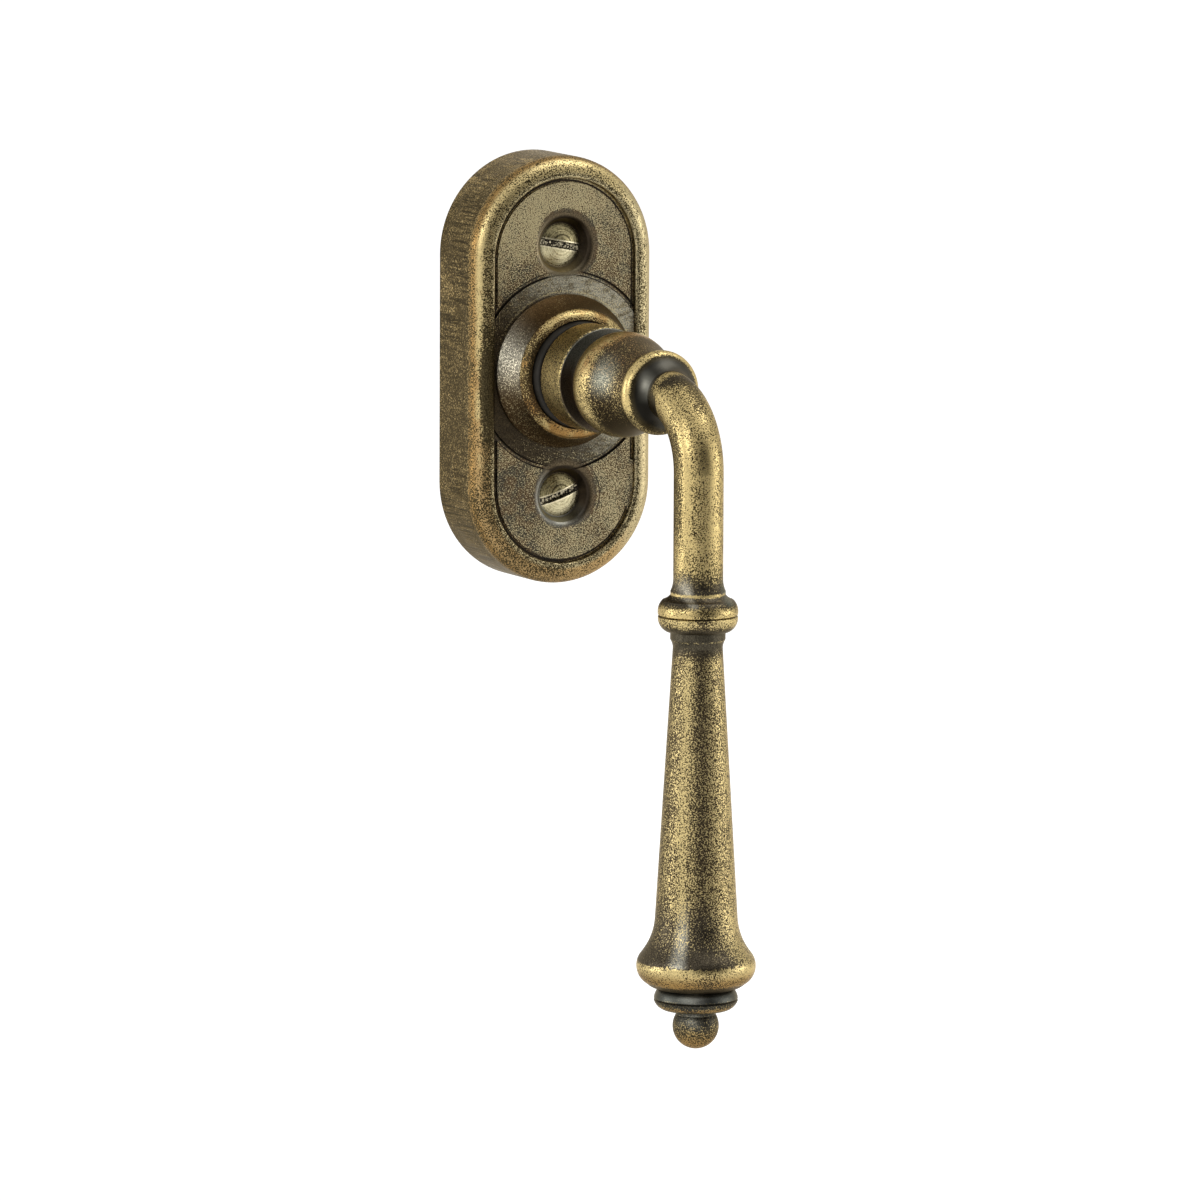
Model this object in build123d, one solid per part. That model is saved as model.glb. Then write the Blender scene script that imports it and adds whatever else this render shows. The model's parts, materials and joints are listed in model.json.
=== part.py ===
from build123d import *
import math
import os

# Window handle with an oval rosette. Millimetres. X runs across the rosette, Y into the wall and Z up.
# The origin is on the spindle's axis, on the face that lies against the window.
# "Out" is the distance from that face into the room, which is along -Y.

# Rosette, the cast plate that shows
ROSETTE_WIDTH = 34.5
ROSETTE_HEIGHT = 73.6
ROSETTE_THICKNESS = 13.7
ROSETTE_WALL = 2.6
EDGE_ROUND = 3.0
BORDER_WIDTH = 3.75
BORDER_INNER_ROUND = 0.6
FACE_SINK = 0.7
FACE_WALL = 3.2

# Engraved lines round the two panels
GROOVE_WIDTH = 0.7
ARC_GROOVE_WIDTH = 0.9
ARC_GROOVE_RADIUS = 16.35
GROOVE_DEPTH = 0.45
WORN_FROM = 16.0
WORN_TO = 24.6

# Hub, the raised boss that holds the neck's bush
HUB_RADIUS = 13.2
HUB_STEP = 0.45
HUB_LIP_RADIUS = 11.1
HUB_LIP_WIDTH = 1.7
HUB_FLANK_HEIGHT = 4.5
HUB_FLANK_HOLLOW = 0.25
LIP_RISE = 0.3
LIP_HEIGHT = 1.2
HUB_RECESS_DEPTH = 1.6
HUB_BORE_RADIUS = 8.2

# Fixing screws, M4 raised countersunk with a slot, on the standard spacing
SCREW_SPACING = 43.0
SCREW_RADIUS = 2.0
SCREW_SHANK_RADIUS = 1.8
SCREW_LENGTH = 35.0
SCREW_HEAD_RADIUS = 3.75
SCREW_DOME = 0.95
SCREW_HEAD_DEPTH = 2.1
SCREW_TIP = 0.6
SLOT_WIDTH = 1.15
SLOT_DEPTH = 1.0
UPPER_SLOT_TURN = -11.0
LOWER_SLOT_TURN = 18.0
THREAD_LENGTH = 12.5
SCREW_HOLE_RADIUS = 2.2

# Dished seat round each screw
DISH_RADIUS = 5.6
DISH_ROUND = 1.2
DISH_TURN = 50.0
DISH_FLOOR_RADIUS = 3.9
DISH_DEPTH = 1.8
POST_RADIUS = 4.6

# Base plate in the rosette's back, held by two small screws
PLATE_RECESS = 0.3
PLATE_THICKNESS = 1.5
SPINDLE_HOLE_RADIUS = 5.6
PLATE_SCREW_INSET = 4.15
PLATE_SCREW_HEIGHT = 14.0
PLATE_SCREW_RADIUS = 1.5
PLATE_SCREW_HEAD_RADIUS = 2.75
PLATE_SCREW_LENGTH = 7.0
PLATE_SCREW_SLOT = 0.6
PLATE_BOSS_RADIUS = 2.9

# Locating lugs, moulded tubes round the fixing screws that enter the window
LUG_RADIUS = 5.0
LUG_LENGTH = 10.0
LUG_CHAMFER = 0.5
LUG_SHANK_RADIUS = 3.4

# Click movement: housing, square cam and two leaf springs
HOUSING_FRONT_WALL = 1.9
CAM_FLATS = 12.2
CAM_CORNER_RADIUS = 7.4
CAM_PLAY = 0.45
CAM_ROOM = 7.9
SPRING_THICKNESS = 0.5
SPRING_LENGTH = 21.6
SPRING_HOOK = 1.8
SPRING_BEND = 0.4
SPRING_TRAVEL = 1.9
SPRING_MARGIN = 0.3

# Spindle, a square bar that goes into the window's gear
SPINDLE_SIZE = 7.0
SPINDLE_PROUD = 24.0
SPINDLE_CHAMFER = 0.7
SPINDLE_PIN_RADIUS = 1.25

# Bearing of the neck
JOURNAL_RADIUS = 6.5
BUSH_PROUD = 1.65
BUSH_ROUND = 0.4
RING_THICKNESS = 1.0
RING_GROOVE_DEPTH = 0.3
RING_WIDTH = 1.5
RING_EAR_RADIUS = 1.25
RING_EAR_HOLE = 0.55
RING_OPENING = 34.0
WAVE_HEIGHT = 0.8
WAVE_SHEET = 0.3
THRUST_THICKNESS = 0.6
WASHER_RADIUS = 9.0

# Turned shape of the neck
SHOULDER_RADIUS = 7.6
SHOULDER_LENGTH = 0.65
BAND_RADIUS = 9.1
BAND_LENGTH = 6.9
BAND_EDGE = 0.3
WAIST_RADIUS = 7.0
WAIST_LENGTH = 3.5
BULB_LENGTH = 14.1
BULB_BACK_RADIUS = 8.3
BULB_RADIUS = 9.0
BULB_CREST = 3.1
BULB_SLOPE_RADIUS = 7.6
BULB_SLOPE = 8.1
BULB_FOOT_RADIUS = 6.65
BULB_FOOT = 11.1
BULB_END_RADIUS = 6.1
RIM_LENGTH = 3.1
RIM_RISE = 1.1
COVE_LENGTH = 4.3
COVE_END_RADIUS = 3.7
COVE_HOLLOW = 0.75

# Elbow
TUBE_RADIUS = 4.2
BEND_RADIUS = 12.0
NECK_STRAIGHT = 0.4

# Turned collar in the middle of the grip, cut across by the joint of lever and grip
JOINT_DROP = 36.0
COLLAR_RADIUS = 6.74
COLLAR_VEE = 0.2
FLANGE_RADIUS = 4.66
UPPER_BEAD_HEIGHT = 2.6
UPPER_BEAD_RADIUS = 6.0
UPPER_BEAD_ROUND = 0.3
UPPER_COVE_HEIGHT = 0.9
UPPER_COVE_HOLLOW = 0.13
UPPER_FLANGE_HEIGHT = 0.6
UPPER_FLARE_HEIGHT = 2.3
UPPER_FLARE_HOLLOW = 0.15
LOWER_BEAD_HEIGHT = 2.65
LOWER_BEAD_RADIUS = 5.4
LOWER_BEAD_ROUND = 0.42
LOWER_FLANGE_HEIGHT = 1.35
LOWER_FLARE_HEIGHT = 1.4
LOWER_FLARE_HOLLOW = 0.1

# Grip below the collar, a long taper that ends in a bell
GRIP_LENGTH = 63.3
GRIP_TOP_RADIUS = 4.2
GRIP_END_RADIUS = 6.98
BELL_HEIGHT = 11.9
BELL_FLARE = 5.9
BELL_HOLLOW = 0.49
BELL_SHOULDER_RADIUS = 9.3
BELL_RISE = 1.2
BELL_FOOT_RADIUS = 8.4
BELL_FOOT_HEIGHT = 0.9
BELL_BASE_RADIUS = 6.3
BELL_BASE_ROUND = 0.2

# End collar and finial
END_COLLAR_HEIGHT = 1.85
END_COLLAR_TOP_RADIUS = 6.3
END_COLLAR_RADIUS = 7.1
END_COLLAR_ROUND = 0.15
FINIAL_DISC_HEIGHT = 1.75
FINIAL_DISC_END_RADIUS = 5.6
FINIAL_DISC_ROUND = 0.25
FINIAL_NECK_RADIUS = 3.4
FINIAL_NECK_STEP = 0.4
BALL_RADIUS = 3.92
BALL_DROP = 4.6

# Tie rod that pulls grip, end collar and finial against the lever
TIE_RADIUS = 2.0
TIE_REACH = 14.0
SPIGOT_RADIUS = 3.0
SPIGOT_LENGTH = 5.0

# Clearances
FIT = 0.02
RUN = 0.05
LOOSE = 0.25
SEAT_GAP = 0.3

# Distances out from the window, worked out from the sizes above
FACE = ROSETTE_THICKNESS - FACE_SINK
CAVITY = FACE - FACE_WALL
PLATE_FRONT = PLATE_RECESS + PLATE_THICKNESS
HOUSING_FRONT = CAVITY - SEAT_GAP
POCKET_FRONT = HOUSING_FRONT - HOUSING_FRONT_WALL
CAM_BACK = PLATE_FRONT + CAM_PLAY
CAM_FRONT = POCKET_FRONT - CAM_PLAY
RING_FRONT = CAVITY + RING_THICKNESS
WAVE_FRONT = RING_FRONT + WAVE_HEIGHT
WASHER_SEAT = WAVE_FRONT + THRUST_THICKNESS
FLANK_FRONT = FACE + HUB_STEP + HUB_FLANK_HEIGHT
LIP_FRONT = FLANK_FRONT + LIP_HEIGHT
BUSH_SEAT = LIP_FRONT - HUB_RECESS_DEPTH
BUSH_FRONT = LIP_FRONT + BUSH_PROUD
JOURNAL_END = HOUSING_FRONT - HOUSING_FRONT_WALL / 2
NECK_BACK = BUSH_FRONT + RUN
BAND_BACK = NECK_BACK + SHOULDER_LENGTH
BAND_FRONT = BAND_BACK + BAND_LENGTH
BULB_BACK = BAND_FRONT + WAIST_LENGTH
BULB_FRONT = BULB_BACK + BULB_LENGTH
RIM_FRONT = BULB_FRONT + RIM_LENGTH
BEND_START = RIM_FRONT + NECK_STRAIGHT
PROJECTION = BEND_START + BEND_RADIUS
SCREW_HEAD_RIM = FACE - DISH_DEPTH
PIN_OUT = (WASHER_SEAT + BUSH_SEAT) / 2

# Radii worked out from the sizes above
LIP_INNER_RADIUS = HUB_LIP_RADIUS - HUB_LIP_WIDTH
BUSH_FLANGE_RADIUS = LIP_INNER_RADIUS - SEAT_GAP
COUNTERBORE_RADIUS = WASHER_RADIUS + SEAT_GAP + SEAT_GAP
RING_INNER_RADIUS = JOURNAL_RADIUS - RING_GROOVE_DEPTH + FIT
SCREW_Z = SCREW_SPACING / 2
PLATE_SCREW_X = ROSETTE_WIDTH / 2 - ROSETTE_WALL - PLATE_SCREW_INSET

# Heights on the grip, below the spindle's axis
JOINT_Z = -JOINT_DROP
GRIP_END_Z = JOINT_Z - GRIP_LENGTH
FINIAL_Z = GRIP_END_Z - END_COLLAR_HEIGHT
BALL_Z = FINIAL_Z - BALL_DROP
TUBE_END_Z = JOINT_Z + UPPER_BEAD_HEIGHT

# Drawing planes: radius against distance out for the neck, radius against height for the grip
NECK_PLANE = Plane(origin=(0, 0, 0), x_dir=(1, 0, 0), z_dir=(0, 0, -1))
GRIP_PLANE = Plane(origin=(0, -PROJECTION, 0), x_dir=(1, 0, 0), z_dir=(0, -1, 0))
GRIP_AXIS = Axis((0, -PROJECTION, 0), (0, 0, 1))


def outline(start, *steps):
    """Face inside a chain of lines, arcs and curves.

    A step is an end point, with the rise of its arc as a third number if it has one,
    or a list of points for one smooth curve through them.
    """
    edges = []
    here = start
    for step in steps:
        if isinstance(step, list):
            edges.append(Spline(here, *step))
            here = step[-1]
        elif len(step) == 3:
            edges.append(SagittaArc(here, step[:2], step[2]))
            here = step[:2]
        else:
            edges.append(Line(here, step))
            here = step
    edges.append(Line(here, start))
    return make_face(edges)


def turned_neck(*points):
    """Solid turned about the spindle's axis, from points of radius and distance out."""
    return revolve(NECK_PLANE * outline(*points), axis=Axis.Y)


def turned_grip(*points):
    """Solid turned about the grip's axis, from points of radius and height."""
    return revolve(GRIP_PLANE * outline(*points), axis=GRIP_AXIS)


def turned_screw(z, *points):
    """Solid turned about an axis at height z that runs into the wall."""
    return Pos(0, 0, z) * turned_neck(*points)


def raised(shape, back, front):
    """A flat shape drawn in X and Z, made solid between two distances out."""
    return extrude(Plane.XZ.offset(back) * shape, front - back, dir=(0, -1, 0))


def disc(radius, back, front, x=0.0, z=0.0):
    """Cylinder along the spindle's axis, between two distances out."""
    return raised(Pos(x, z) * Circle(radius), back, front)


def block(width, height, back, front, x=0.0, z=0.0):
    """Box between two distances out."""
    return raised(Pos(x, z) * Rectangle(width, height), back, front)


def oval(inset):
    """The rosette's outline, taken in by inset."""
    return SlotOverall(ROSETTE_HEIGHT - 2 * inset, ROSETTE_WIDTH - 2 * inset, rotation=90)


def edges_at(solid, out, inset):
    """Edges of the rosette that lie at a distance out and on its outline, taken in by inset."""
    half = ROSETTE_WIDTH / 2 - inset
    straight = (ROSETTE_HEIGHT - ROSETTE_WIDTH) / 2
    chosen = []
    for edge in solid.edges():
        middle = edge @ 0.5
        past_straight = max(0.0, abs(middle.Z) - straight)
        across = math.hypot(middle.X, past_straight)
        if abs(middle.Y + out) < FIT and abs(across - half) < FIT:
            chosen.append(edge)
    return chosen


def panel_grooves():
    """The engraved line round the two panels, with the stretch that the casting lacks left out."""
    outer = oval(BORDER_WIDTH) - Circle(ARC_GROOVE_RADIUS)
    inner = oval(BORDER_WIDTH + GROOVE_WIDTH) - Circle(ARC_GROOVE_RADIUS + ARC_GROOVE_WIDTH)
    grooves = raised(outer - inner, FACE - GROOVE_DEPTH, ROSETTE_THICKNESS)
    worn_width = BORDER_WIDTH + 2 * GROOVE_WIDTH
    worn_x = ROSETTE_WIDTH / 2 - worn_width / 2
    worn_z = -(WORN_FROM + WORN_TO) / 2
    return grooves - block(worn_width, WORN_TO - WORN_FROM, 0, ROSETTE_THICKNESS, worn_x, worn_z)


def hub():
    """Raised boss with a stepped foot, a hollow flank and a rounded lip."""
    return turned_neck(
        (0, CAVITY),
        (HUB_RADIUS, CAVITY),
        (HUB_RADIUS, FACE + HUB_STEP),
        (HUB_LIP_RADIUS + RUN, FLANK_FRONT, HUB_FLANK_HOLLOW),
        (HUB_LIP_RADIUS, FLANK_FRONT),
        (LIP_INNER_RADIUS, LIP_FRONT, -LIP_RISE),
        (LIP_INNER_RADIUS, BUSH_SEAT),
        (0, BUSH_SEAT),
    )


def dish(z):
    """Dished seat with a rounded edge, and the cone and hole for the screw."""
    turn = math.radians(DISH_TURN)
    rise = DISH_ROUND * (1 - math.cos(turn / 2))
    return turned_screw(
        z,
        (0, ROSETTE_THICKNESS),
        (DISH_RADIUS, ROSETTE_THICKNESS),
        (DISH_RADIUS, FACE),
        (DISH_RADIUS - DISH_ROUND * math.sin(turn), FACE - DISH_ROUND * (1 - math.cos(turn)), -rise),
        (DISH_FLOOR_RADIUS, SCREW_HEAD_RIM),
        (SCREW_HEAD_RADIUS + FIT, SCREW_HEAD_RIM),
        (SCREW_HOLE_RADIUS, SCREW_HEAD_RIM - SCREW_HEAD_DEPTH),
        (SCREW_HOLE_RADIUS, 0),
        (0, 0),
    )


def rosette():
    """Cast plate: rounded border, sunk face, engraved lines, dished seats, hub and hollow back."""
    body = raised(oval(0), 0, ROSETTE_THICKNESS)
    body = fillet(edges_at(body, ROSETTE_THICKNESS, 0), EDGE_ROUND)
    body -= raised(oval(BORDER_WIDTH), FACE, ROSETTE_THICKNESS)
    body = fillet(edges_at(body, ROSETTE_THICKNESS, BORDER_WIDTH), BORDER_INNER_ROUND)
    body -= panel_grooves()
    body += hub()
    body -= raised(oval(ROSETTE_WALL), 0, CAVITY)
    body -= disc(COUNTERBORE_RADIUS, 0, WASHER_SEAT)
    body -= disc(HUB_BORE_RADIUS, WASHER_SEAT, BUSH_SEAT)
    for z in (SCREW_Z, -SCREW_Z):
        body += disc(POST_RADIUS, PLATE_FRONT, CAVITY, z=z)
        body -= dish(z)
    for side in (1, -1):
        x = side * PLATE_SCREW_X
        z = side * PLATE_SCREW_HEIGHT
        body += disc(PLATE_BOSS_RADIUS, PLATE_FRONT, CAVITY, x, z)
        body -= disc(PLATE_SCREW_RADIUS + FIT, PLATE_FRONT, PLATE_SCREW_LENGTH + SEAT_GAP, x, z)
    return body


def base_plate():
    """Pressed plate that closes the rosette's back."""
    plate = raised(oval(ROSETTE_WALL + RUN), PLATE_RECESS, PLATE_FRONT)
    plate -= disc(SPINDLE_HOLE_RADIUS, PLATE_RECESS, PLATE_FRONT)
    for z in (SCREW_Z, -SCREW_Z):
        plate -= disc(LUG_SHANK_RADIUS + FIT, PLATE_RECESS, PLATE_FRONT, z=z)
    for side in (1, -1):
        plate -= plate_screw(side, RUN)
    return plate


def plate_screw(side, clearance=0.0):
    """Small countersunk screw, or with a clearance its countersunk hole."""
    head = PLATE_SCREW_HEAD_RADIUS + clearance
    shank = PLATE_SCREW_RADIUS + clearance
    shoulder = PLATE_RECESS + PLATE_SCREW_HEAD_RADIUS - PLATE_SCREW_RADIUS
    return Pos(side * PLATE_SCREW_X, 0, side * PLATE_SCREW_HEIGHT) * turned_neck(
        (0, PLATE_RECESS),
        (head, PLATE_RECESS),
        (shank, shoulder),
        (shank, PLATE_SCREW_LENGTH),
        (0, PLATE_SCREW_LENGTH),
    )


def plate_screws():
    """Two small countersunk screws that hold the base plate in the rosette."""
    screws = []
    for side in (1, -1):
        x = side * PLATE_SCREW_X
        z = side * PLATE_SCREW_HEIGHT
        width = 2 * PLATE_SCREW_HEAD_RADIUS
        slot_floor = PLATE_RECESS + PLATE_SCREW_SLOT
        slot = block(width, PLATE_SCREW_SLOT, PLATE_RECESS, slot_floor, x, z)
        screws.append(plate_screw(side) - slot)
    return Compound(screws)


def locating_lugs():
    """Two moulded tubes with a thinner shank that is pressed into the base plate."""
    lugs = []
    for z in (SCREW_Z, -SCREW_Z):
        end = PLATE_RECESS - LUG_LENGTH
        lug = turned_screw(
            z,
            (SCREW_HOLE_RADIUS, PLATE_FRONT),
            (LUG_SHANK_RADIUS, PLATE_FRONT),
            (LUG_SHANK_RADIUS, PLATE_RECESS),
            (LUG_RADIUS, PLATE_RECESS),
            (LUG_RADIUS, end + LUG_CHAMFER),
            (LUG_RADIUS - LUG_CHAMFER, end),
            (SCREW_HOLE_RADIUS, end),
        )
        lugs.append(lug)
    return Compound(lugs)


def spring_band(side, margin, back, front):
    """Leaf spring with a hook at each end, or with a margin the slot that holds it."""
    inside = CAM_FLATS / 2 + FIT - margin
    outside = CAM_FLATS / 2 + FIT + SPRING_THICKNESS + margin
    tip = CAM_FLATS / 2 + FIT + SPRING_HOOK + margin
    end = SPRING_LENGTH / 2 + margin
    hook = SPRING_LENGTH / 2 - SPRING_THICKNESS - margin
    corners = [(inside, end), (tip, end), (tip, hook), (outside, hook)]
    corners += [(x, -z) for x, z in reversed(corners)]
    return raised(Polygon([(side * x, z) for x, z in corners], align=None), back, front)


def leaf_spring(side):
    """Flat spring that lies against one flat of the cam, with both ends bent outwards."""
    band = spring_band(side, 0, CAM_BACK + SPRING_MARGIN, CAM_FRONT - SPRING_MARGIN)
    inside = side * (CAM_FLATS / 2 + FIT)
    bends = [edge for edge in band.edges().filter_by(Axis.Y) if abs(edge.center().X - inside) < FIT]
    return fillet(bends, SPRING_BEND)


def movement_housing():
    """Moulded insert that fills the rosette's back and holds cam and springs."""
    body = raised(oval(ROSETTE_WALL + SEAT_GAP), PLATE_FRONT, HOUSING_FRONT)
    for z in (SCREW_Z, -SCREW_Z):
        body -= disc(POST_RADIUS + LOOSE, PLATE_FRONT, HOUSING_FRONT, z=z)
    for side in (1, -1):
        x = side * PLATE_SCREW_X
        z = side * PLATE_SCREW_HEIGHT
        body -= disc(PLATE_BOSS_RADIUS + LOOSE, PLATE_FRONT, HOUSING_FRONT, x, z)
    travel = CAM_FLATS / 2 + SPRING_THICKNESS + SPRING_TRAVEL
    straight = SPRING_LENGTH - 2 * SPRING_HOOK
    body -= block(2 * travel, straight, PLATE_FRONT, POCKET_FRONT)
    for side in (1, -1):
        body -= spring_band(side, RUN, PLATE_FRONT, CAM_FRONT - SPRING_MARGIN + RUN)
    body -= disc(CAM_ROOM, PLATE_FRONT, POCKET_FRONT)
    return body - disc(JOURNAL_RADIUS + LOOSE, POCKET_FRONT, HOUSING_FRONT)


def index_cam():
    """Square cam with rounded corners, which clicks at each quarter turn."""
    shape = Rectangle(CAM_FLATS, CAM_FLATS) & Circle(CAM_CORNER_RADIUS)
    hole = SPINDLE_SIZE + 2 * RUN
    return raised(shape - Rectangle(hole, hole), CAM_BACK, CAM_FRONT)


def spindle():
    """Square bar with a chamfered end, cross drilled for its pin."""
    bar = block(SPINDLE_SIZE, SPINDLE_SIZE, -SPINDLE_PROUD, BAND_FRONT)
    end = bar.edges().filter_by(lambda edge: abs(edge.center().Y - SPINDLE_PROUD) < FIT)
    return chamfer(end, SPINDLE_CHAMFER) - spindle_pin(FIT)


def spindle_pin(clearance=0.0):
    """Cross pin that locks the spindle in the neck, or with a clearance its hole."""
    length = 2 * (JOURNAL_RADIUS - LOOSE + clearance)
    return Pos(0, -PIN_OUT, 0) * Rot(0, 90, 0) * Cylinder(SPINDLE_PIN_RADIUS + clearance, length)


def neck_bush():
    """Flanged bearing bush; its flange stands out of the hub's lip as a dark ring."""
    inner = JOURNAL_RADIUS + RUN
    return turned_neck(
        (inner, WASHER_SEAT + FIT),
        (HUB_BORE_RADIUS - FIT, WASHER_SEAT + FIT),
        (HUB_BORE_RADIUS - FIT, BUSH_SEAT),
        (BUSH_FLANGE_RADIUS, BUSH_SEAT),
        (BUSH_FLANGE_RADIUS, BUSH_FRONT - BUSH_ROUND),
        (BUSH_FLANGE_RADIUS - BUSH_ROUND, BUSH_FRONT, BUSH_ROUND * (math.sqrt(0.5) - 1)),
        (inner, BUSH_FRONT),
    )


def thrust_washer():
    """Flat washer between the hub and the spring washer."""
    ring = disc(WASHER_RADIUS, WAVE_FRONT + FIT, WASHER_SEAT)
    return ring - disc(JOURNAL_RADIUS + LOOSE, WAVE_FRONT, WASHER_SEAT)


def spring_washer():
    """Bowed spring washer, bent across X, that takes up the neck's end play."""
    reach = WASHER_RADIUS - SEAT_GAP
    rise = WAVE_HEIGHT - WAVE_SHEET - 2 * FIT
    low = RING_FRONT + FIT
    sheet = outline(
        (-reach, low),
        (reach, low, rise),
        (reach, low + WAVE_SHEET),
        (-reach, low + WAVE_SHEET, -rise),
    )
    bowed = extrude(NECK_PLANE * sheet, reach, both=True)
    ring = disc(reach, RING_FRONT, WAVE_FRONT) - disc(JOURNAL_RADIUS + LOOSE, RING_FRONT, WAVE_FRONT)
    return bowed & ring


def retaining_ring():
    """External retaining ring with two eyed ends, open at the bottom."""
    outer = RING_INNER_RADIUS + RING_WIDTH
    shape = Circle(outer) - Circle(RING_INNER_RADIUS)
    half = math.radians(RING_OPENING / 2)
    reach = 2 * outer
    corner = reach * math.tan(half)
    shape -= Polygon((0, 0), (-corner, -reach), (corner, -reach), align=None)
    middle = RING_INNER_RADIUS + RING_EAR_RADIUS
    angle = half + RING_EAR_RADIUS / middle
    for side in (1, -1):
        ear = Pos(side * middle * math.sin(angle), -middle * math.cos(angle))
        shape += ear * Circle(RING_EAR_RADIUS)
        shape -= ear * Circle(RING_EAR_HOLE)
    return raised(shape, CAVITY, RING_FRONT)


def neck_body():
    """Everything of the lever that is turned about the spindle's axis."""
    groove = JOURNAL_RADIUS - RING_GROOVE_DEPTH
    bulb = [
        (BULB_RADIUS, BULB_BACK + BULB_CREST),
        (BULB_SLOPE_RADIUS, BULB_BACK + BULB_SLOPE),
        (BULB_FOOT_RADIUS, BULB_BACK + BULB_FOOT),
        (BULB_END_RADIUS, BULB_FRONT),
    ]
    return turned_neck(
        (0, JOURNAL_END),
        (JOURNAL_RADIUS - BAND_EDGE, JOURNAL_END),
        (JOURNAL_RADIUS, JOURNAL_END + BAND_EDGE),
        (JOURNAL_RADIUS, CAVITY - FIT),
        (groove, CAVITY - FIT),
        (groove, RING_FRONT + FIT),
        (JOURNAL_RADIUS, RING_FRONT + FIT),
        (JOURNAL_RADIUS, NECK_BACK),
        (SHOULDER_RADIUS, NECK_BACK),
        (SHOULDER_RADIUS, BAND_BACK),
        (BAND_RADIUS - BAND_EDGE, BAND_BACK),
        (BAND_RADIUS, BAND_BACK + BAND_EDGE),
        (BAND_RADIUS, BAND_FRONT - BAND_EDGE),
        (BAND_RADIUS - BAND_EDGE, BAND_FRONT),
        (WAIST_RADIUS, BAND_FRONT),
        (WAIST_RADIUS, BULB_BACK),
        (BULB_BACK_RADIUS, BULB_BACK),
        bulb,
        (BULB_END_RADIUS, RIM_FRONT, -RIM_RISE),
        (COVE_END_RADIUS, RIM_FRONT + COVE_LENGTH, COVE_HOLLOW),
        (0, RIM_FRONT + COVE_LENGTH),
    )


def elbow_tube():
    """Round arm from the neck through the quarter bend down to the collar."""
    start = (0, -BULB_FRONT, 0)
    path = FilletPolyline(
        start, (0, -PROJECTION, 0), (0, -PROJECTION, TUBE_END_Z), radius=BEND_RADIUS
    )
    section = Plane(origin=start, z_dir=(0, -1, 0)) * Circle(TUBE_RADIUS)
    return sweep(section, path=path)


def upper_collar():
    """Half of the turned collar above the joint, with its flange, its flare and the grip's spigot."""
    bead_top = JOINT_Z + UPPER_BEAD_HEIGHT
    flange_foot = bead_top + UPPER_COVE_HEIGHT
    flange_top = flange_foot + UPPER_FLANGE_HEIGHT
    return turned_grip(
        (0, JOINT_Z - SPIGOT_LENGTH),
        (SPIGOT_RADIUS, JOINT_Z - SPIGOT_LENGTH),
        (SPIGOT_RADIUS, JOINT_Z),
        (COLLAR_RADIUS - COLLAR_VEE, JOINT_Z),
        (COLLAR_RADIUS, JOINT_Z + COLLAR_VEE),
        (UPPER_BEAD_RADIUS, bead_top, -UPPER_BEAD_ROUND),
        (FLANGE_RADIUS, flange_foot, UPPER_COVE_HOLLOW),
        (FLANGE_RADIUS, flange_top),
        (TUBE_RADIUS, flange_top + UPPER_FLARE_HEIGHT, UPPER_FLARE_HOLLOW),
        (0, flange_top + UPPER_FLARE_HEIGHT),
    )


def lever():
    """Neck, elbow and upper collar half, cast in one, with the spindle's and the tie rod's holes."""
    hole = SPINDLE_SIZE + 2 * RUN
    body = neck_body() + elbow_tube() + upper_collar()
    body -= block(hole, hole, JOURNAL_END, BAND_FRONT + RUN)
    return body - spindle_pin(FIT) - tie_rod(FIT)


def grip():
    """Tapered grip with the lower collar half and the bell, bored through for the tie rod."""
    bead_foot = JOINT_Z - LOWER_BEAD_HEIGHT
    flange_foot = bead_foot - LOWER_FLANGE_HEIGHT
    bell_top = GRIP_END_Z + BELL_HEIGHT
    spigot_end = JOINT_Z - SPIGOT_LENGTH - RUN
    return turned_grip(
        (SPIGOT_RADIUS + RUN, JOINT_Z),
        (COLLAR_RADIUS - COLLAR_VEE, JOINT_Z),
        (COLLAR_RADIUS, JOINT_Z - COLLAR_VEE),
        (LOWER_BEAD_RADIUS, bead_foot, LOWER_BEAD_ROUND),
        (FLANGE_RADIUS, bead_foot),
        (FLANGE_RADIUS, flange_foot),
        (GRIP_TOP_RADIUS, flange_foot - LOWER_FLARE_HEIGHT, -LOWER_FLARE_HOLLOW),
        (GRIP_END_RADIUS, bell_top),
        (BELL_SHOULDER_RADIUS, bell_top - BELL_FLARE, -BELL_HOLLOW),
        (BELL_FOOT_RADIUS, GRIP_END_Z + BELL_FOOT_HEIGHT, BELL_RISE),
        (BELL_BASE_RADIUS, GRIP_END_Z, BELL_BASE_ROUND),
        (TIE_RADIUS + LOOSE, GRIP_END_Z),
        (TIE_RADIUS + LOOSE, spigot_end),
        (SPIGOT_RADIUS + RUN, spigot_end),
    )


def end_collar():
    """Turned ring between the bell and the finial, the upper half of their bead."""
    return turned_grip(
        (TIE_RADIUS + LOOSE, GRIP_END_Z),
        (END_COLLAR_TOP_RADIUS, GRIP_END_Z),
        (END_COLLAR_RADIUS, FINIAL_Z + COLLAR_VEE, END_COLLAR_ROUND),
        (END_COLLAR_RADIUS - COLLAR_VEE, FINIAL_Z),
        (TIE_RADIUS + LOOSE, FINIAL_Z),
    )


def finial():
    """Lower half of the bead and the ball in one, screwed on the tie rod's end."""
    disc_foot = FINIAL_Z - FINIAL_DISC_HEIGHT
    body = turned_grip(
        (0, FINIAL_Z),
        (END_COLLAR_RADIUS - COLLAR_VEE, FINIAL_Z),
        (END_COLLAR_RADIUS, FINIAL_Z - COLLAR_VEE),
        (FINIAL_DISC_END_RADIUS, disc_foot, FINIAL_DISC_ROUND),
        (FINIAL_NECK_RADIUS, disc_foot - FINIAL_NECK_STEP),
        (FINIAL_NECK_RADIUS, BALL_Z),
        (0, BALL_Z),
    )
    body += Pos(0, -PROJECTION, BALL_Z) * Sphere(BALL_RADIUS)
    return body - tie_rod(FIT)


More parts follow.
